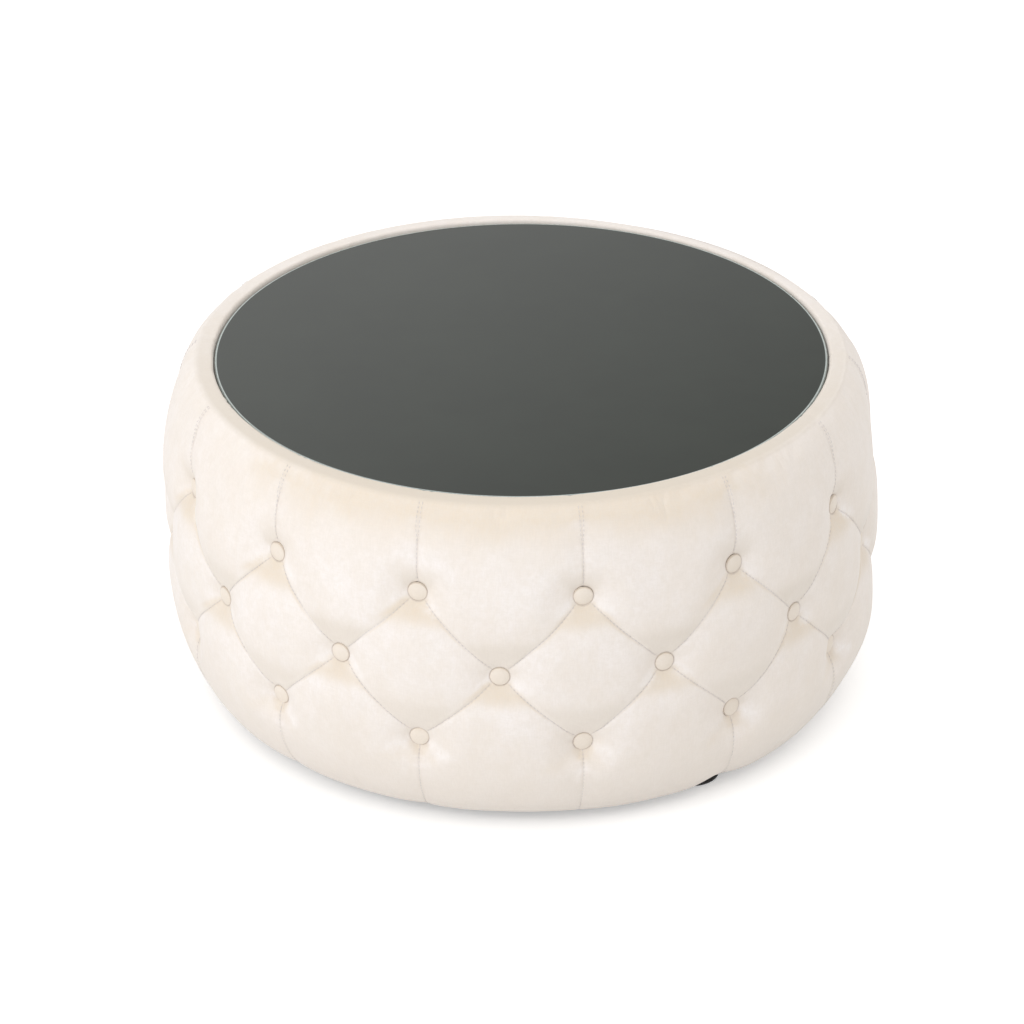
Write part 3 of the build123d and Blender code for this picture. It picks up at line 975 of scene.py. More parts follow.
def quilt_patches(drum):
    """Grids of angle and run, even and ringed: the diamonds and the panels to the rim and the hem."""
    up, mid, low = (drum.row_runs[row] for row in ROWS)
    half, shares = drum.pitch / 2, SEAM_SHARES
    length = np.hypot(half * UNROLLED, mid - up)
    patches = []
    u, v = np.meshgrid(shares, shares, indexing="ij")
    for angle in drum.button_angles("upper"):
        run = up + (u + v) * (mid - up) + u * v * (low - 2 * mid + up)
        grid = angle + (u - v) * half, run
        moved = grid
        for du, dv, place in (
            (u, v, (angle, up)), (1 - u, v, (angle + half, mid)), (u, 1 - v, (angle - half, mid)),
            (1 - u, 1 - v, (angle, low)),
        ):
            moved = ringed(*moved, np.maximum(du, dv) * length, place)
        patches.append((grid, moved))
        across = np.concatenate([shares, 2 - shares[-2::-1]])
        for start, edge, rows in (
            (up, drum.upper_rows[-1], drum.upper_rows[-2::-1]),
            (low, drum.lower_rows[0], drum.lower_rows[1:]),
        ):
            vee = start + (mid - start) * (1 - np.abs(1 - across))
            reach = np.abs(edge - vee)
            offsets = [np.full_like(vee, step) for step in PANEL_STEPS]
            offsets += [PANEL_STEPS[-1] + (reach - PANEL_STEPS[-1]) * part for part in PANEL_SHARES]
            offsets = np.array(offsets)
            runs = vee + offsets * (1 if edge > start else -1)
            angles = np.repeat((angle + across * half)[None, :], len(runs), axis=0)
            moved = angles, runs
            corners = ((angle, start), (angle + half, mid), (angle + 2 * half, start))
            for column, place in enumerate(corners):
                steps = np.maximum(np.abs(across - column)[None, :] * length, offsets)
                moved = ringed(*moved, steps, place)
            runs = np.concatenate([runs, [np.full_like(vee, row) for row in rows]])
            angles = np.repeat(angles[:1], len(runs), axis=0)
            added = angles[: len(rows)], runs[-len(rows):]
            moved = tuple(np.concatenate(both) for both in zip(moved, added))
            patches.append(((angles, runs), moved))
    return patches


def beside_seam(drum, angle):
    """Distance round the drum to the nearest upright seam."""
    pitches = (angle - drum.sizes.first_angle) / drum.pitch
    return np.abs((pitches + 0.5) % 1.0 - 0.5) * drum.pitch * UNROLLED


def folded_rim(drum, angle, run, radius, z):
    """The rim with its low places, its gathers beside the seams and the small folds of its lip."""
    level, past_rim = run * 0, run - drum.rim_run
    upright = smooth((run - drum.lip_run + 0.004) / 0.006) * (1 - smooth((past_rim - 0.006) / 0.03))
    for middle, width in RIM_DIPS:
        z = z - upright * 0.0016 * about(angle, middle, width)
    lip, side = bell(past_rim, 0.008), beside_seam(drum, angle)
    gather = bell(side, 0.02) * np.sin(side / 0.0021 + 2.2 * ripple(angle, level, (0.1, 0.3), 14))
    waver = ripple(angle, level, (0.012, 0.05), 15)
    radius = radius + lip * (0.0005 * gather + 0.00042 * waver)
    z = z + lip * (0.0002 * waver - 0.0003 * np.abs(gather))
    crest, broad = bell(past_rim - 0.002, 0.005), bell(past_rim - 0.009, 0.009)
    for middle, width, out, sunk in LIP_FOLDS:
        fold = about(angle, middle, width)
        radius = radius + crest * out * fold
        z = z - broad * sunk * fold
    return radius, z


def lifted_hem(drum, angle, run, radius):
    """How far the hem is drawn up, a little everywhere, more at the seams, most over the foot."""
    level = run * 0
    hem = smooth((run - drum.skirt_run + 0.012) / 0.02) * smooth((radius - 0.3375) / 0.006)
    wavy = np.maximum(0.0007 * ripple(angle, level, (0.05, 0.2), 16), -0.0002)
    drawn = 0.0014 * bell(beside_seam(drum, angle), 0.011) * (1 + ripple(angle, level, (0.2, 0.5), 17))
    middle, width, lift = FOOT_PULL
    return hem * (wavy + drawn + lift * about(angle, middle, width))


def cover_points(drum, angle, run, slack):
    """Radius, height and angle of places on the velvet, from their angles and runs."""
    depth, _, button, _, full, _ = drum.tufting(angle, run)
    free = smooth((button - 0.014) / 0.03)
    inner = smooth((run - drum.fold_run) / 0.03) * smooth((drum.skirt_run - run) / 0.03)
    shift_angle = ripple(angle, run, (0.07, 0.16), 11) * 0.0011 * free / UNROLLED
    shift_run = ripple(angle, run, (0.06, 0.15), 12) * 0.0013 * free * inner
    radius, z, out_r, out_z = drum.outline(run + shift_run)
    depth = depth + full * inner * (slack - 0.0007 * ripple(angle, run, (0.05, 0.14), 13))
    outside = smooth((run - drum.rim_run) / 0.02)
    whole = np.maximum(full, smooth((z - 0.32) / 0.03) + smooth((0.07 - z) / 0.03))
    depth = depth - drum.settled(angle, z) * whole * outside
    radius, z = radius - depth * out_r, z - depth * out_z
    radius, z = folded_rim(drum, angle, run, radius, z)
    return radius, z + lifted_hem(drum, angle, run, radius), angle + shift_angle


def quilted_sheet(drum, slack):
    """The outer velvet as one open sheet of quads, with its run at each point."""
    form = bmesh.new()
    run_layer = form.verts.layers.float.new("run")
    known = {}
    fine, finer = 1e5, 1e6
    turn = round(2 * pi * fine)
    for (even_angle, even_run), (angle, run) in quilt_patches(drum):
        radius, z, turned = cover_points(drum, angle, run, slack)
        xs, ys = radius * np.sin(turned), -radius * np.cos(turned)
        grid = []
        for i in range(angle.shape[0]):
            row = []
            for j in range(angle.shape[1]):
                key = round(even_angle[i, j] % (2 * pi) * fine) % turn, round(even_run[i, j] * finer)
                point = known.get(key)
                if point is None:
                    point = form.verts.new((xs[i, j], ys[i, j], z[i, j]))
                    point[run_layer] = run[i, j]
                    known[key] = point
                row.append(point)
            grid.append(row)
        for i in range(len(grid) - 1):
            for j in range(len(grid[0]) - 1):
                form.faces.new([grid[i][j], grid[i + 1][j], grid[i + 1][j + 1], grid[i][j + 1]])
    bmesh.ops.recalc_face_normals(form, faces=form.faces)
    outward = sum(face.normal.dot(Vector((*face.calc_center_median().xy, 0))) for face in form.faces)
    if outward < 0:
        bmesh.ops.reverse_faces(form, faces=form.faces)
    mesh = bpy.data.meshes.new("velvet_cover_sheet")
    form.to_mesh(mesh)
    form.free()
    return mesh


def places_of(mesh):
    """A mesh's points, with their angles and runs."""
    points = np.empty(len(mesh.vertices) * 3)
    mesh.vertices.foreach_get("co", points)
    points = points.reshape(-1, 3)
    run = np.empty(len(mesh.vertices), np.float32)
    mesh.attributes["run"].data.foreach_get("value", run)
    return points, np.arctan2(points[:, 0], -points[:, 1]) % (2 * pi), run.astype(float)


def swell(drum, sheet):
    """Cloth simulation: the filling pushes the velvet out between its sewn lines and buttons."""
    scene, tufts, frames = bpy.context.scene, drum.tufts, 20
    start, angle, run = places_of(sheet.data)
    _, near, button, _, _, sewn = drum.tufting(angle, run)
    fixed = ((near < 0.0012) & (sewn > 0.1)) | (button < 0.0125)
    fixed |= (run < drum.fold_run) | (run > drum.skirt_run)
    group = sheet.vertex_groups.new(name="sewn")
    group.add(np.flatnonzero(fixed).tolist(), 1.0, "REPLACE")
    cloth = sheet.modifiers.new("Filling", "CLOTH")
    for key, value in {
        "quality": 6, "mass": 0.25, "tension_stiffness": 12.0, "compression_stiffness": 12.0,
        "shear_stiffness": 4.0, "bending_stiffness": 0.4, "shrink_min": -0.008, "use_pressure": True,
        "uniform_pressure_force": tufts.pressure, "vertex_group_mass": "sewn",
    }.items():
        setattr(cloth.settings, key, value)
    cloth.settings.effector_weights.gravity = 0.0
    cloth.collision_settings.use_collision = False
    cloth.point_cache.frame_start, cloth.point_cache.frame_end = 1, frames
    for number in range(1, frames + 1):
        scene.frame_set(number)
    mesh = applied(sheet)
    scene.frame_set(1)
    step = places_of(mesh)[0] - start
    far = np.linalg.norm(step, axis=1)
    held = 0.3 + 0.7 * smooth(near / 0.024)
    step *= (held * np.tanh(far / tufts.most_moved) * tufts.most_moved / np.maximum(far, TINY))[:, None]
    mesh.vertices.foreach_set("co", (start + step).ravel())
    mesh.update()
    return mesh


PLEATS = (-9, 0, 7, -12, 6, 0, 10, -7, 0, 11, -8, 0, 9, -6)
"""Length in millimetres of the pleat under each lower button, with the side that it is on."""


def pleats(drum, angle, run):
    """How near each point is to a short pleat under a lower button, and how deep the pleat is there."""
    near, depth = np.full_like(run, 1.0), np.zeros_like(run)
    for middle, length in zip(drum.button_angles("lower"), PLEATS):
        if length:
            x = turned_from(angle, middle) * UNROLLED
            along = (run - drum.row_runs["lower"] - BUTTON_RADIUS - 0.0005) / (abs(length) / 1000)
            away = np.abs(x - np.sign(length) * (0.0028 + 0.0012 * along))
            held = smooth((along + 0.3) / 0.3) * (1 - smooth((along - 0.45) / 0.55))
            near = np.where(held > 0.25, np.minimum(near, away), near)
            depth = np.maximum(depth, held * np.exp(-away / 0.0012))
    return near, depth


def divided(drum, sheet):
    """One subdivision with the seams kept sharp, then the grooves, the seats and the puckers."""
    mesh = sheet.data
    _, angle, run = places_of(mesh)
    near = drum.tufting(angle, run)[1]
    crease = mesh.attributes.new("crease_edge", "FLOAT", "EDGE")
    for edge in mesh.edges:
        first, second = edge.vertices
        if near[first] < 0.0006 and near[second] < 0.0006:
            crease.data[edge.index].value = 0.9
    fine = sheet.modifiers.new("Fine", "SUBSURF")
    fine.levels = fine.render_levels = 1
    mesh = applied(sheet)
    tufts = drum.tufts
    points, angle, run = places_of(mesh)
    _, near, button, along, _, sewn = drum.tufting(angle, run)
    _, _, out_r, out_z = drum.outline(run)
    clear = smooth((button - 0.0095) / 0.004)
    groove = tufts.groove_depth * np.exp(-near / tufts.groove_width) * sewn * clear
    wave = np.sin(along * 2 * pi / (3 * STITCH_PITCH))
    pucker = 0.00022 * wave * bell(near - 0.004, 0.004) * sewn * clear
    seat = tufts.hug_height * (1 - smooth((button - 0.0083) / 0.0021))
    inward = groove + pucker + seat + 0.0011 * pleats(drum, angle, run)[1]
    radial = points[:, :2] / np.linalg.norm(points[:, :2], axis=1)[:, None]
    points[:, :2] -= radial * (inward * out_r)[:, None]
    points[:, 2] -= inward * out_z
    mesh.vertices.foreach_set("co", points.ravel())
    mesh.update()
    return mesh


def lined(drum, mesh):
    """The sheet closed with its lining along the frame, the foam and the under side of the hem."""
    inner = drum.sizes.rim_inner
    board, back, ring_top = BOARD_TOP + 0.0001, inner + 0.0018, 0.3642
    foam_edge, foam_side, belly = 0.3394, 0.3504, 0.3617
    lining = [
        (inner - 0.0165, board), (back, board), (back, ring_top), (0.3372, ring_top), (foam_edge, 0.3595),
        (foam_side, 0.276), (belly, ROW_HEIGHTS["middle"]), (foam_side, 0.105),
        (foam_edge, BASE_BOTTOM + 0.0003), (inner + 0.0071, BASE_BOTTOM - 0.00005),
    ]
    form = bmesh.new()
    form.from_mesh(mesh)
    run_layer = form.verts.layers.float["run"]
    loops = {"top": [], "hem": []}
    for point in form.verts:
        if point.is_boundary:
            loops["top" if point[run_layer] < 0.1 else "hem"].append(point)
    for loop in loops.values():
        loop.sort(key=lambda point: np.arctan2(point.co.x, -point.co.y))
    rings = [loops["top"]]
    for radius, z in lining:
        ring = []
        for edge in loops["top"]:
            reach = edge.co.xy.length
            ring.append(form.verts.new((edge.co.x / reach * radius, edge.co.y / reach * radius, z)))
            ring[-1][run_layer] = 0.0
        rings.append(ring)
    rings.append(loops["hem"])
    bridge(form, rings)
    bmesh.ops.recalc_face_normals(form, faces=form.faces)
    if form.calc_volume(signed=True) < 0:
        bmesh.ops.reverse_faces(form, faces=form.faces)
    form.to_mesh(mesh)
    form.free()
    return mesh


SHADE_ABOVE = {
    "upper": (0.01, 0.4, 0.009, 0.5),
    "middle": (0.029, 0.78, 0.001, 0.72),
    "lower": (0.036, 0.8, 0.001, 0.52),
}
# Reach, spread, half width at the button and strength of the painted shade above each row's buttons.
"""Reach, spread, half width at the button and strength of the marks above each row's buttons."""


def hump(t, start, rise, end, fall):
    """A value that rises to 1 from one place on and falls to 0 from another place on."""
    return smooth((t - start) / rise) * (1 - smooth((t - end) / fall))


def button_light_marks(drum, angle, run):
    """How strong the painted shade is below and above each button, and the painted highlight streaks beside
    it.
    """
    below, above, raised = np.zeros_like(run), np.zeros_like(run), np.zeros_like(run)
    chance = np.random.default_rng(289)
    for row in ROWS:
        reach, spread, start, turned = SHADE_ABOVE[row]
        for middle in drum.button_angles(row):
            lean, most = chance.uniform(-0.55, 0.15), chance.uniform(0.85, 1.0)
            long, tilt = chance.uniform(0.010, 0.019), chance.uniform(0.4, 0.75)
            sides = ((1, chance.uniform(0.65, 0.95)), (-1, chance.choice((0.0, 0.3, 0.75))))
            x = turned_from(angle, middle) * UNROLLED
            y = run - drum.row_runs[row]
            # Painted beige shade below the button.
            wide = np.abs(x - lean * y) - 0.85 * y - 0.004
            mark = hump(y, 0.003, 0.007, 0.02, 0.016) * (1 - smooth(wide / 0.009))
            below += mark * most * (0.4 if row == "lower" else 1.0)
            # Painted shade above the button.
            wide = np.abs(x) + spread * y - start
            above += hump(-y, 0.003, 0.007, reach, 0.018) * (1 - smooth(wide / 0.006)) * most * turned
            # Painted highlight streaks beside the button.
            for side, strength in sides:
                along = side * x * cos(tilt) + y * sin(tilt)
                across = -side * x * sin(tilt) + y * cos(tilt)
                raised += hump(along, 0.011, 0.006, 0.012 + long, 0.014) * strength * bell(across, 0.0065)
    return below, above, raised


def mark_cloth(drum, mesh):
    """Gives the cloth its own coordinates, and each point its seam, its button, and the painted shade and
    painted highlight round its buttons.
    """
    _, angle, run = places_of(mesh)
    _, near, button, along, _, sewn = drum.tufting(angle, run)
    outside = run > 0.001
    near = np.where(outside & (sewn > 0.02), np.minimum(near, pleats(drum, angle, run)[0] + 0.0003), 0.05)
    # Painted shade below and above the buttons and painted highlight beside them.
    below, above, raised = button_light_marks(drum, angle, np.where(outside, run, 1.0))
    marks = {
        "seam_near": near, "seam_along": along, "seam_held": sewn, "button_near": button,
        "pile_below": below, "pile_above": above, "pile_raised": raised,
    }
    for name, values in marks.items():
        mesh.attributes.new(name, "FLOAT", "POINT").data.foreach_set("value", values.astype(np.float32))
    corners = np.empty(len(mesh.loops), np.int32)
    mesh.loops.foreach_get("vertex_index", corners)
    around = angle[corners]
    starts = np.empty(len(mesh.polygons), np.int32)
    mesh.polygons.foreach_get("loop_start", starts)
    first = np.zeros(len(corners), np.int32)
    first[starts] = 1
    home = around[starts][np.cumsum(first) - 1]
    around = around + 2 * pi * np.round((home - around) / (2 * pi))
    cloth = mesh.uv_layers.new(name="cloth")
    flat = np.stack([around * UNROLLED, run[corners]], axis=1)
    cloth.data.foreach_set("uv", flat.astype(np.float32).ravel())


class OTTOMAN_OT_velvet_cover(bpy.types.Operator):
    """Make the tufted velvet cover from the hem, over the rim and in under the glass"""

    bl_idname = "ottoman.velvet_cover"
    bl_label = "Velvet cover"

    def execute(self, context):
        scene = context.scene
        drum = Drum(scene.ottoman_drum, scene.ottoman_tufts)
        slack = drum.tufts.slack
        sheet = bpy.data.objects.new("velvet_sheet", quilted_sheet(drum, slack))
        scene.collection.objects.link(sheet)
        sheet.data = swell(drum, sheet)
        mesh = lined(drum, divided(drum, sheet))
        bpy.data.objects.remove(sheet)
        mark_cloth(drum, mesh)
        mesh.shade_smooth()
        mesh.name = "velvet_upholstery"
        material = velvet_finish(scene.ottoman_colours, "Ivory velvet", True, drum.fold_run)
        made = piece("velvet_upholstery", mesh, material, "drum", "velvet", "velvet_cover")
        return {"FINISHED"}


# Pieces set out by Geometry Nodes


SOCKETS = {"Geometry": "Geometry", "Shape": "Object", "Seed": "Int", "Finish": "Material"}


def copying_tree(name, *values):
    """An empty tree of Geometry Nodes that takes points or lines, a shape, a finish, a seed and values."""
    tree = bpy.data.node_groups.new(name, "GeometryNodeTree")
    for label in ("Geometry", "Shape", *values, "Seed", "Finish"):
        kind = SOCKETS.get(label, "Float")
        tree.interface.new_socket(label, in_out="INPUT", socket_type=f"NodeSocket{kind}")
    tree.interface.new_socket("Geometry", in_out="OUTPUT", socket_type="NodeSocketGeometry")
    return tree, tree.nodes.new("NodeGroupInput").outputs


def direction(tree, name):
    """A direction that the points carry."""
    return add(tree, "GeometryNodeInputNamedAttribute", {"data_type": "FLOAT_VECTOR"}, Name=name).outputs[0]


def aligned(tree, axis, vector, rotation=None, pivot="AUTO"):
    """A rotation that brings an axis round to a direction."""
    settings = {"axis": axis, "pivot_axis": pivot}
    made = add(tree, "FunctionNodeAlignRotationToVector", settings, Rotation=rotation, Vector=vector)
    return made.outputs[0]


def copied(tree, source, points, rotation, lean, spin):
    """Ends a tree with the shape's copies on the points, each turned a little further by chance."""
    ends = []
    for sign in (-1.0, 1.0):
        parts = [times(tree, source[name], sign) for name in (lean, spin)]
        ends.append(add(tree, "ShaderNodeCombineXYZ", X=parts[0], Y=parts[0], Z=parts[1]).outputs[0])
    chance = add(
        tree, "FunctionNodeRandomValue", {"data_type": "FLOAT_VECTOR"}, at0=ends[0], at1=ends[1],
        Seed=source["Seed"],
    )
    euler = add(tree, "FunctionNodeEulerToRotation", at0=chance.outputs[0]).outputs[0]
    turned = add(tree, "FunctionNodeRotateRotation", {"rotation_space": "LOCAL"}, at0=rotation, at1=euler)
    shape = add(tree, "GeometryNodeObjectInfo", Object=source["Shape"]).outputs["Geometry"]
    copies = add(
        tree, "GeometryNodeInstanceOnPoints", Points=points, Instance=shape, Rotation=turned.outputs[0]
    )
    real = add(tree, "GeometryNodeRealizeInstances", Geometry=copies.outputs[0]).outputs[0]
    done = add(tree, "GeometryNodeSetMaterial", Geometry=real, Material=source["Finish"]).outputs[0]
    add(tree, "NodeGroupOutput", Geometry=done)
    return tree


def set_out_tree():
    """Copies of a shape on points, each turned so that its Z looks outward, with a seeded lean."""
    tree, source = copying_tree("Set out on points", "Lean", "Spin")
    along = aligned(tree, "X", direction(tree, "onward"))
    facing_out = aligned(tree, "Z", direction(tree, "outward"), along)
    return copied(tree, source, source["Geometry"], facing_out, "Lean", "Spin")


def stitch_tree():
    """Copies of a stitch at even steps along curves, laid along them."""
    tree, source = copying_tree("Stitch along seams", "Pitch", "Sway")
    seams = add(tree, "GeometryNodeMeshToCurve", Mesh=source["Geometry"]).outputs[0]
    steps = add(tree, "GeometryNodeResampleCurve", {"mode": "LENGTH"}, Curve=seams, Length=source["Pitch"])
    tangent = tree.nodes.new("GeometryNodeInputTangent").outputs[0]
    along = aligned(tree, "X", tangent, aligned(tree, "Z", direction(tree, "outward")), "Z")
    return copied(tree, source, steps.outputs[0], along, "Sway", "Sway")


def set_out(name, tree, carrier, shape, material, **inputs):
    """Runs a tree over a carrier mesh and gives the result as a plain mesh."""
    source = bpy.data.objects.new(f"{name}_shape", shape)
    made = bpy.data.objects.new(name, carrier)
    for one in (source, made):
        bpy.context.scene.collection.objects.link(one)
    nodes = made.modifiers.new("Set out", "NODES")
    nodes.node_group = tree
    set_input(nodes, tree, "Shape", source)
    set_input(nodes, tree, "Finish", material)
    for key, value in inputs.items():
        set_input(nodes, tree, key, value)
    mesh = applied(made)
    bpy.data.objects.remove(made)
    bpy.data.objects.remove(source)
    if not mesh.polygons:
        raise RuntimeError(f"{name} came out empty")
    mesh.name = name
    mesh.shade_smooth()
    return mesh


def carry(mesh, name, vectors):
    """Lets a mesh's points carry a direction each."""
    values = np.array([tuple(vector) for vector in vectors], np.float32)
    mesh.attributes.new(name, "FLOAT_VECTOR", "POINT").data.foreach_set("vector", values.ravel())


def point_carrier(name, places):
    """Points with the directions that their copies face and run in."""
    points, outward, onward = zip(*places)
    mesh = bpy.data.meshes.new(name)
    mesh.from_pydata([tuple(point) for point in points], [], [])
    carry(mesh, "outward", outward)
    carry(mesh, "onward", onward)
    return mesh


def spot(radius, angle, z, outward=None):
    """A place round the drum, the way that it faces (outwards unless told) and the way round."""
    onward = Vector((cos(angle), sin(angle), 0))
    return polar(radius, angle, z), outward or polar(1, angle, 0), onward


def placed(name, places, shape, material, lean, spin, seed):
    """Copies of a shape at places, as one mesh; their tree is built the first time it is needed."""
    tree = bpy.data.node_groups.get("Set out on points") or set_out_tree()
    carrier = point_carrier(f"{name}_points", places)
    return set_out(name, tree, carrier, shape, material, Lean=lean, Spin=spin, Seed=seed)


def foot_angles(sizes):
    """The angle of each foot."""
    return [sizes.first_angle + 2 * pi / sizes.per_row + k * pi / 2 for k in range(4)]


class OTTOMAN_OT_buttons(bpy.types.Operator):
    """Make the covered buttons of all three rows"""

    bl_idname = "ottoman.buttons"
    bl_label = "Covered buttons"

    def execute(self, context):
        scene = context.scene
        drum = Drum(scene.ottoman_drum, scene.ottoman_tufts)
        outline = [
            (0.0, 0.0), (0.0062, 0.0), (0.0086, 0.00035), (0.0096, 0.0010), (0.00995, 0.0019),
            (0.0099, 0.0027), (0.00955, 0.0033), (0.00905, 0.00365), (0.0084, 0.0038), (0.0074, 0.00415),
            (0.0056, 0.00462), (0.0034, 0.0049), (0.0014, 0.00499), (0.0, 0.005),
        ]

        def gathers(number, turn):
            return 0.012 * cos(11 * turn) * (0.4 if number > 6 else 1.0) * (number < 9)

        shape = lathe("button_shape", outline, 36, gathers)
        # Marks the side ring of each button, where the painted shade goes.
        edge = shape.attributes.new("button_edge_shade", "FLOAT", "POINT")
        for point in shape.vertices:
            edge.data[point.index].value = float(0.0024 < point.co.z < 0.0035)
        places = [
            spot(drum.seat(row) + 0.0003, angle, ROW_HEIGHTS[row])
            for row in ROWS for angle in drum.button_angles(row)
        ]
        material = velvet_finish(scene.ottoman_colours, "Button velvet", False)
        mesh = placed("covered_buttons", places, shape, material, radians(3.0), pi, seed=4)
        nodes = [f"buttons_{row}" for row in ROWS]
        made = piece("covered_buttons", mesh, material, "drum", "velvet", *nodes)
        return {"FINISHED"}


def seam_lines(drum):
    """Every line of stitches as angles and runs; the upright seams have two rows below the rim."""
    wide = drum.pitch * UNROLLED
    up, mid, low = (drum.row_runs[row] for row in ROWS)
    gap, seat = np.hypot(wide / 2, mid - up), 0.0118
    lines = []
    for angle in drum.button_angles("upper"):
        along = np.linspace(seat / gap, 1 - seat / gap, 60)
        for side in (-1, 1):
            for start in (up, low):
                lines.append((angle + side * along * drum.pitch / 2, start + along * (mid - start)))
        run = np.linspace(up - seat, drum.fold_run + 0.003, 50)
        split = 0.0019 * smooth((drum.fold_run + 0.045 - run) / 0.02) / UNROLLED
        two = split >= 1e-6
        lines.append((angle + split, run))
        lines.append((angle - split[two], run[two]))
        run = np.linspace(low + seat, drum.skirt_run + 0.008, 50)
        lines.append((np.full_like(run, angle), run))
    return lines


class OTTOMAN_OT_stitching(bpy.types.Operator):
    """Sew the stitches along every seam of the cover"""

    bl_idname = "ottoman.stitching"
    bl_label = "Stitching"

    def execute(self, context):
        scene = context.scene
        drum = Drum(scene.ottoman_drum, scene.ottoman_tufts)
        sizes = scene.ottoman_stitches
        points, outward, edges = [], [], []
        for angle, run in seam_lines(drum):
            radius, z, turned = cover_points(drum, angle, run, 0.0)
            _, _, out_r, out_z = drum.outline(run)
            near, sewn = drum.tufting(angle, run)[1::4]
            groove = drum.tufts.groove_depth * np.exp(-near / drum.tufts.groove_width) * sewn
            lift = 0.0002 - groove
            first = len(points)
            places = zip(radius + lift * out_r, turned, z + lift * out_z, out_r, out_z)
            for r, turn, height, way_r, way_z in places:
                points.append(polar(r, turn, height))
                outward.append(polar(way_r, turn, way_z))
            edges += [(number, number + 1) for number in range(first, len(points) - 1)]
        carrier = bpy.data.meshes.new("seam_lines")
        carrier.from_pydata([tuple(point) for point in points], edges, [])
        carry(carrier, "outward", outward)
        half, thick = sizes.length / 2, sizes.thread / 2
        outline = [
            (0.0, -half), (thick * 0.75, -half * 0.86), (thick, -half * 0.4), (thick, half * 0.4),
            (thick * 0.75, half * 0.86), (0.0, half),
        ]
        shape = lathe("stitch_shape", outline, 6)
        shape.transform(Matrix.Rotation(pi / 2, 4, "Y"))
        material = thread_finish("Sewing thread", sizes.colour)
        mesh = set_out(
            "seam_stitching", stitch_tree(), carrier, shape, material, Pitch=sizes.pitch,
            Sway=radians(5.0), Seed=9,
        )
        piece("seam_stitching", mesh, material, "drum", "twine")
        return {"FINISHED"}


# Filling, underside and fixings


class OTTOMAN_OT_foam_barrel(bpy.types.Operator):
    """Wrap the foam round the frame, with its glued joint and the hollows where the ties pull"""

    bl_idname = "ottoman.foam_barrel"
    bl_label = "Foam barrel"

    def execute(self, context):
        scene = context.scene
        drum = Drum(scene.ottoman_drum, scene.ottoman_tufts)
        low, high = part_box("side_foam")
        inner, edge, belly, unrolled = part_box("side_skin")[1].x + 0.0001, 0.3389, high.y, 0.352
        joint = drum.sizes.first_angle + drum.pitch * 6.75
        steps = np.concatenate([np.arange(1.0, 359.5, 1.0), [-0.5, -0.25, -0.1, 0.1, 0.25, 0.5]])
        angles = joint + np.radians(np.sort(steps % 360))
        heights = np.concatenate([[low.z], np.linspace(low.z + 0.0012, high.z - 0.0012, 46), [high.z]])
        middle = ROW_HEIGHTS["middle"]
        outer = np.interp(heights, [low.z, middle, high.z], [edge, belly, edge]) - 0.0003
        outer -= 0.0005 * bell(heights - middle, 0.012)
        outer[[0, -1]] -= 0.0007
        turn, z = np.meshgrid(angles, heights, indexing="ij")
        press = 0.0003 * (1 + ripple(turn, z, (0.03, 0.12), 31)) * smooth((outer - edge) / 0.006)
        for row in ROWS:
            for angle in drum.button_angles(row):
                x = turned_from(turn, angle) * unrolled
                press += 0.0026 * bell(np.hypot(x, z - ROW_HEIGHTS[row]), 0.009)
        press += 0.0014 * bell(turned_from(turn, joint) * unrolled, 0.001)
        radius = np.maximum(outer - press, inner + 0.0004)
        inside = np.array([high.z, high.z - 0.001, 0.27, middle, 0.1, low.z + 0.001, low.z])
        wall = inner + 0.0003 * np.array([1, 0, 0, 0, 0, 0, 1])
        radius = np.concatenate([radius, np.repeat(wall[None, :], len(angles), axis=0)], axis=1)
        z = np.concatenate([z, np.repeat(inside[None, :], len(angles), axis=0)], axis=1)
        mesh = closed_ring("foam_barrel", angles, radius, z)
        made = piece("foam_barrel", mesh, foam_finish(), "drum", "foam", "side_foam")
        return {"FINISHED"}


class OTTOMAN_OT_dust_cloth(bpy.types.Operator):
    """Stretch the black cloth under the base, its edge folded in and a little drawn between the staples"""

    bl_idname = "ottoman.dust_cloth"
    bl_label = "Dust cloth"

    def execute(self, context):
        low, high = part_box("dust_cover")
        edge, open_to, folded_in, scallops = high.x, 0.2398, 0.0125, 56
        radii = np.concatenate([
            np.linspace(0.0, 0.225, 16), [0.234, open_to, 0.25, 0.265, 0.28, 0.295, 0.308],
            edge - np.array([0.0128, 0.0122, 0.008, 0.004, 0.0012]),
        ])
        sag = 0.0011 * (1 - np.clip(radii / open_to, 0, 1) ** 2)
        under = low.z + np.where(radii < edge - folded_in, 0.00022, 0.0) - sag
        over = np.where(radii < open_to - 0.001, under + 0.0003, high.z)
        outline = [(float(r), float(z)) for r, z in zip(radii, under)]
        outline += [
            (edge - 0.0002, low.z + 0.0001), (edge, (low.z + high.z) / 2), (edge - 0.0002, high.z - 0.00005)
        ]
        outline += [(float(r), float(z)) for r, z in zip(radii[::-1], over[::-1])]
        edge_points = range(len(radii) - 1, len(outline) - len(radii) + 2)

        def drawn(number, turn):
            return -0.0011 * (1 - cos(scallops * turn)) if number in edge_points else 0.0

        mesh = lathe("dust_cloth", outline, 4 * scallops, drawn)
        made = piece("dust_cloth", mesh, nonwoven_finish(), "drum", "black_cloth", "dust_cover")
        return {"FINISHED"}


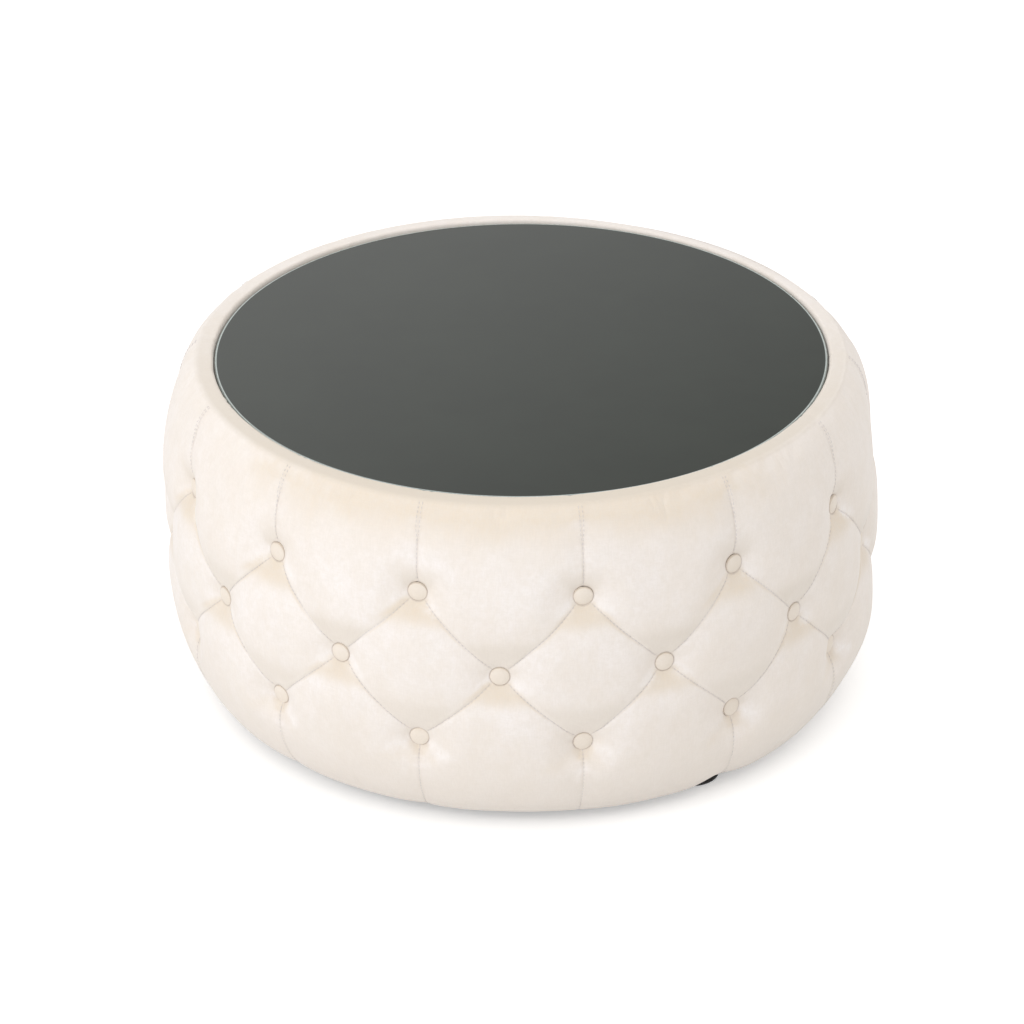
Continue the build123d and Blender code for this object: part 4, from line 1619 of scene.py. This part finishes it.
class OTTOMAN_OT_staples(bpy.types.Operator):
    """Staple the turn-in under the glass, the hem and the dust cloth"""

    bl_idname = "ottoman.staples"
    bl_label = "Staples"

    def execute(self, context):
        sizes = context.scene.ottoman_drum
        pitch = 2 * pi / sizes.per_row
        low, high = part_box("dust_cover")
        rows = (
            (sizes.rim_inner - 0.0105, BOARD_TOP + CLOTH, UP, 5, 0.0),
            (sizes.rim_inner + 0.0114, sizes.hem_height, DOWN, 6, 0.0),
            (high.x - 0.0065, low.z, DOWN, 4, radians(6)),
        )
        places = []
        for radius, z, outward, each, clear_of_feet in rows:
            for step in range(each * sizes.per_row):
                angle = sizes.first_angle + pitch * (step + 0.5) / each
                away = min(abs(turned_from(angle, foot)) for foot in foot_angles(sizes))
                if away >= clear_of_feet:
                    places.append(spot(radius, angle, z, outward))
        path = [
            (-0.005, -0.0012), (-0.005, 0.0), (-0.0046, 0.00022), (0.0046, 0.00022), (0.005, 0.0),
            (0.005, -0.0012),
        ]
        shape, material = bent_wire("staple_shape", path, 0.0003), steel_finish("Staple wire")
        mesh = placed("hem_staples", places, shape, material, radians(1.0), radians(9.0), seed=12)
        piece("hem_staples", mesh, material, "drum", "screw_steel")
        return {"FINISHED"}


class OTTOMAN_OT_bell_feet(bpy.types.Operator):
    """Make the moulded feet with their flared glides and screw recesses"""

    bl_idname = "ottoman.bell_feet"
    bl_label = "Feet"

    def execute(self, context):
        sizes = context.scene.ottoman_drum
        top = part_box("feet")[1].z
        outline = [
            (0.0023, top), (0.0243, top), (0.0249, top - 0.0005), (0.0248, top - 0.003), (0.0247, 0.0085),
            (0.0252, 0.0062), (0.0266, 0.0044), (0.0286, 0.0034), (0.0297, 0.0027), (0.03, 0.0017),
            (0.0297, 0.0008), (0.0289, 0.0002), (0.0276, 0.0), (0.0214, 0.0), (0.0208, 0.0003),
            (0.0206, 0.0009), (0.0198, 0.0009), (0.0196, 0.0003), (0.019, 0.0), (0.0078, 0.0),
            (0.0066, 0.0004), (0.0061, 0.0014), (0.006, 0.0058), (0.0058, 0.006), (0.0043, 0.006),
            (0.0023, 0.009), (0.0023, top),
        ]
        places = [spot(FOOT_CIRCLE, angle, 0.0, UP) for angle in foot_angles(sizes)]
        shape, material = lathe("foot_shape", outline, 64), plastic_finish(context.scene.ottoman_colours)
        mesh = placed("bell_feet", places, shape, material, 0.0, pi, seed=3)
        piece("bell_feet", mesh, material, "drum", "black_plastic", "feet")
        return {"FINISHED"}


def screw_shape(name, length):
    """A countersunk wood screw, its cross-slotted head facing +Z at the origin."""
    z, core, crest, tip = -0.0045, 0.0015, 0.00198, 0.0045
    outline = [
        (0.0, -0.0021), (0.0006, -0.002), (0.0012, -0.0012), (0.0018, -0.00008), (0.0023, 0.0),
        (0.0037, 0.0), (0.004, -0.0002), (0.00395, -0.0005), (0.002, -0.0029), (0.0019, z),
    ]
    while z > tip - length:
        outline += [(core, z - 0.0004), (core, z - 0.0011), (crest, z - 0.0015)]
        z -= 0.0017
    outline += [(0.0013, 0.0034 - length), (0.0, -length)]
    lobes = {1: 0.25, 2: 0.35, 3: 0.42}
    return lathe(name, outline, 16, lambda number, turn: lobes.get(number, 0.0) * cos(4 * turn))


class OTTOMAN_OT_screws(bpy.types.Operator):
    """Drive the wood screws through the board, the base ring and the feet"""

    bl_idname = "ottoman.screws"
    bl_label = "Screws"

    def execute(self, context):
        sizes = context.scene.ottoman_drum
        posts = [sum(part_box(node), Vector()) / 2 for node in sorted(NODES) if node.startswith("post_")]
        in_frame = [
            (Vector((*post.xy, z)), way, Vector((1, 0, 0)))
            for z, way in ((BOARD_TOP, UP), (BASE_BOTTOM, DOWN)) for post in posts
        ]
        in_feet = [spot(FOOT_CIRCLE, angle, 0.006, DOWN) for angle in foot_angles(sizes)]
        for name, places, length, nodes in (
            ("frame_wood_screws", in_frame, 0.05, ("board_screws", "base_screws")),
            ("foot_wood_screws", in_feet, 0.02, ("foot_screws",)),
        ):
            shape, material = screw_shape(f"{name}_shape", length), steel_finish("Screw steel")
            mesh = placed(name, places, shape, material, 0.0, pi, seed=7)
            piece(name, mesh, material, "drum", "screw_steel", *nodes)
        return {"FINISHED"}


# Frame finishes and stage


class OTTOMAN_OT_frame_finishes(bpy.types.Operator):
    """Give the CAD model's own pieces, such as the glass, the wood and the twine, their finishes"""

    bl_idname = "ottoman.frame_finishes"
    bl_label = "Frame finishes"

    def execute(self, context):
        colours = context.scene.ottoman_colours
        finishes = {
            "tinted_glass": glass_finish(colours), "clear_pad": pad_finish(), "card": card_finish(),
            "plywood": plywood_finish(colours), "softwood": pine_finish(colours), "foam": foam_finish(),
            "twine": thread_finish("Waxed twine", colours.twine), "black_cloth": nonwoven_finish(),
            "black_plastic": plastic_finish(colours), "screw_steel": steel_finish("Plated steel"),
        }
        for part in frame["record"]["subparts"]:
            if part["material_slot"] in finishes:
                mesh = NODES[part["node"]].data
                mesh.materials.clear()
                mesh.materials.append(finishes[part["material_slot"]])
        return {"FINISHED"}


class OTTOMAN_OT_stage(bpy.types.Operator):
    """Set the floor, the light and the camera"""

    bl_idname = "ottoman.stage"
    bl_label = "Stage"

    def execute(self, context):
        scene, light = context.scene, context.scene.ottoman_light
        self.floor(scene, light)
        self.world(scene, light)
        self.lamp("key_light", (-2.9, -2.9, 2.7), 2.6, light.key)
        self.lamp("fill_light", (0.6, 0.4, 4.2), 3.6, light.fill)
        self.camera(scene)
        scene.view_settings.view_transform = "Standard"
        return {"FINISHED"}

    def floor(self, scene, light):
        """A wide pale floor that shows white and keeps the table's shadow."""
        half = 30
        mesh = bpy.data.meshes.new("studio_floor")
        corners = [(-half, -half, 0), (half, -half, 0), (half, half, 0), (-half, half, 0)]
        mesh.from_pydata(corners, [], [(0, 1, 2, 3)])
        made = bpy.data.objects.new("studio_floor", mesh)
        scene.collection.objects.link(made)
        material, tree, shader, place = finish("Studio floor", 0.85, 0.0)
        shade = cloud(tree, place, 1.5, 2.0)
        colour = mixed(tree, ramp(tree, shade, 0.3, 0.7, 0.0, 0.25), light.floor, (0.88, 0.88, 0.88))
        put(tree, shader, "Base Color", colour)
        put(tree, shader, "Emission Color", WHITE)
        path = tree.nodes.new("ShaderNodeLightPath").outputs
        seen = maths(tree, "MAXIMUM", path["Is Camera Ray"], path["Is Glossy Ray"])
        seen = maths(tree, "MAXIMUM", seen, path["Is Transmission Ray"])
        put(tree, shader, "Emission Strength", times(tree, seen, light.lift))
        clear = tree.nodes.new("ShaderNodeBsdfTransparent").outputs[0]
        behind = tree.nodes.new("ShaderNodeNewGeometry").outputs["Backfacing"]
        under = add(tree, "ShaderNodeMixShader", at0=behind, at1=shader.outputs[0], at2=clear)
        surface = next(one for one in tree.nodes if one.type == "OUTPUT_MATERIAL").inputs[0]
        tree.links.new(under.outputs[0], surface)
        mesh.materials.append(material)

    def world(self, scene, light):
        """Even white light, seen as pure white."""
        world = bpy.data.worlds.new("Studio")
        world.use_nodes = True
        scene.world = world
        tree = world.node_tree
        tree.nodes.clear()
        path = tree.nodes.new("ShaderNodeLightPath").outputs
        way = apart(tree, tree.nodes.new("ShaderNodeTexCoord").outputs["Generated"])
        aside = plus(tree, times(tree, way[0], 0.75), way[2])
        mirrored = ramp(tree, aside, 0.33, 0.6, 1.0, 0.44)
        white = maths(tree, "MAXIMUM", path["Is Camera Ray"], path["Is Transmission Ray"])
        strength = mixed_value(tree, path["Is Glossy Ray"], light.ambient, mirrored)
        strength = mixed_value(tree, white, strength, 1.0)
        back = add(tree, "ShaderNodeBackground", Color=WHITE, Strength=strength)
        add(tree, "ShaderNodeOutputWorld", at0=back.outputs[0])

    def lamp(self, name, place, size, power):
        """A large soft lamp that looks at the table."""
        data = bpy.data.lights.new(name, "AREA")
        data.shape, data.size, data.energy = "DISK", size, power
        made = bpy.data.objects.new(name, data)
        made.location = place
        middle = Vector((0, 0, 0.15))
        made.rotation_euler = (middle - made.location).to_track_quat("-Z", "Y").to_euler()
        made.visible_glossy = False
        bpy.context.scene.collection.objects.link(made)

    def camera(self, scene):
        """The photograph's viewpoint."""
        data = bpy.data.cameras.new("photo_camera")
        data.lens, data.sensor_width = 117.33, 36.0
        made = bpy.data.objects.new("photo_camera", data)
        place, target = Vector((0.0, -3.1288, 1.9179)), Vector((-0.01006, 0.0, 0.16927))
        ahead = (target - place).normalized()
        right = ahead.cross(UP).normalized()
        up = right.cross(ahead)
        roll = radians(-0.235)
        right, up = cos(roll) * right + sin(roll) * up, cos(roll) * up - sin(roll) * right
        turn = Matrix((right, up, -ahead)).transposed().to_4x4()
        made.matrix_world = Matrix.Translation(place) @ turn
        data.clip_start, data.clip_end = 0.05, 100.0
        scene.collection.objects.link(made)
        scene.camera = made


# Panel and run


class OTTOMAN_PT_panel(bpy.types.Panel):
    """Lists the table's pieces"""

    bl_idname = "OTTOMAN_PT_panel"
    bl_label = "Ottoman coffee table"
    bl_space_type = "VIEW_3D"
    bl_region_type = "UI"
    bl_category = "Ottoman"

    def draw(self, context):
        for operator in OPERATORS:
            self.layout.operator(operator.bl_idname)
        for group in GROUPS:
            box = self.layout.box()
            settings = getattr(context.scene, group)
            for name in settings.bl_rna.properties.keys():
                if name not in ("rna_type", "name"):
                    box.prop(settings, name)


OPERATORS = (
    OTTOMAN_OT_velvet_cover,
    OTTOMAN_OT_buttons,
    OTTOMAN_OT_stitching,
    OTTOMAN_OT_foam_barrel,
    OTTOMAN_OT_dust_cloth,
    OTTOMAN_OT_staples,
    OTTOMAN_OT_bell_feet,
    OTTOMAN_OT_screws,
    OTTOMAN_OT_frame_finishes,
    OTTOMAN_OT_stage,
)
GROUPS = {
    "ottoman_drum": DrumSizes,
    "ottoman_tufts": TuftSizes,
    "ottoman_stitches": StitchSizes,
    "ottoman_colours": FinishColours,
    "ottoman_light": StudioLight,
}


def register():
    """Registers the settings, the operators and the panel."""
    for one in (*GROUPS.values(), *OPERATORS, OTTOMAN_PT_panel):
        bpy.utils.register_class(one)
    for name, group in GROUPS.items():
        setattr(bpy.types.Scene, name, PointerProperty(type=group))


def unregister():
    """Takes the settings, the operators and the panel away again."""
    for name in GROUPS:
        delattr(bpy.types.Scene, name)
    for one in (OTTOMAN_PT_panel, *reversed(OPERATORS), *GROUPS.values()):
        bpy.utils.unregister_class(one)


def main():
    """Makes every piece in order."""
    register()
    for operator in OPERATORS:
        module, name = operator.bl_idname.split(".")
        getattr(getattr(bpy.ops, module), name)()


if __name__ == "__main__":
    main()
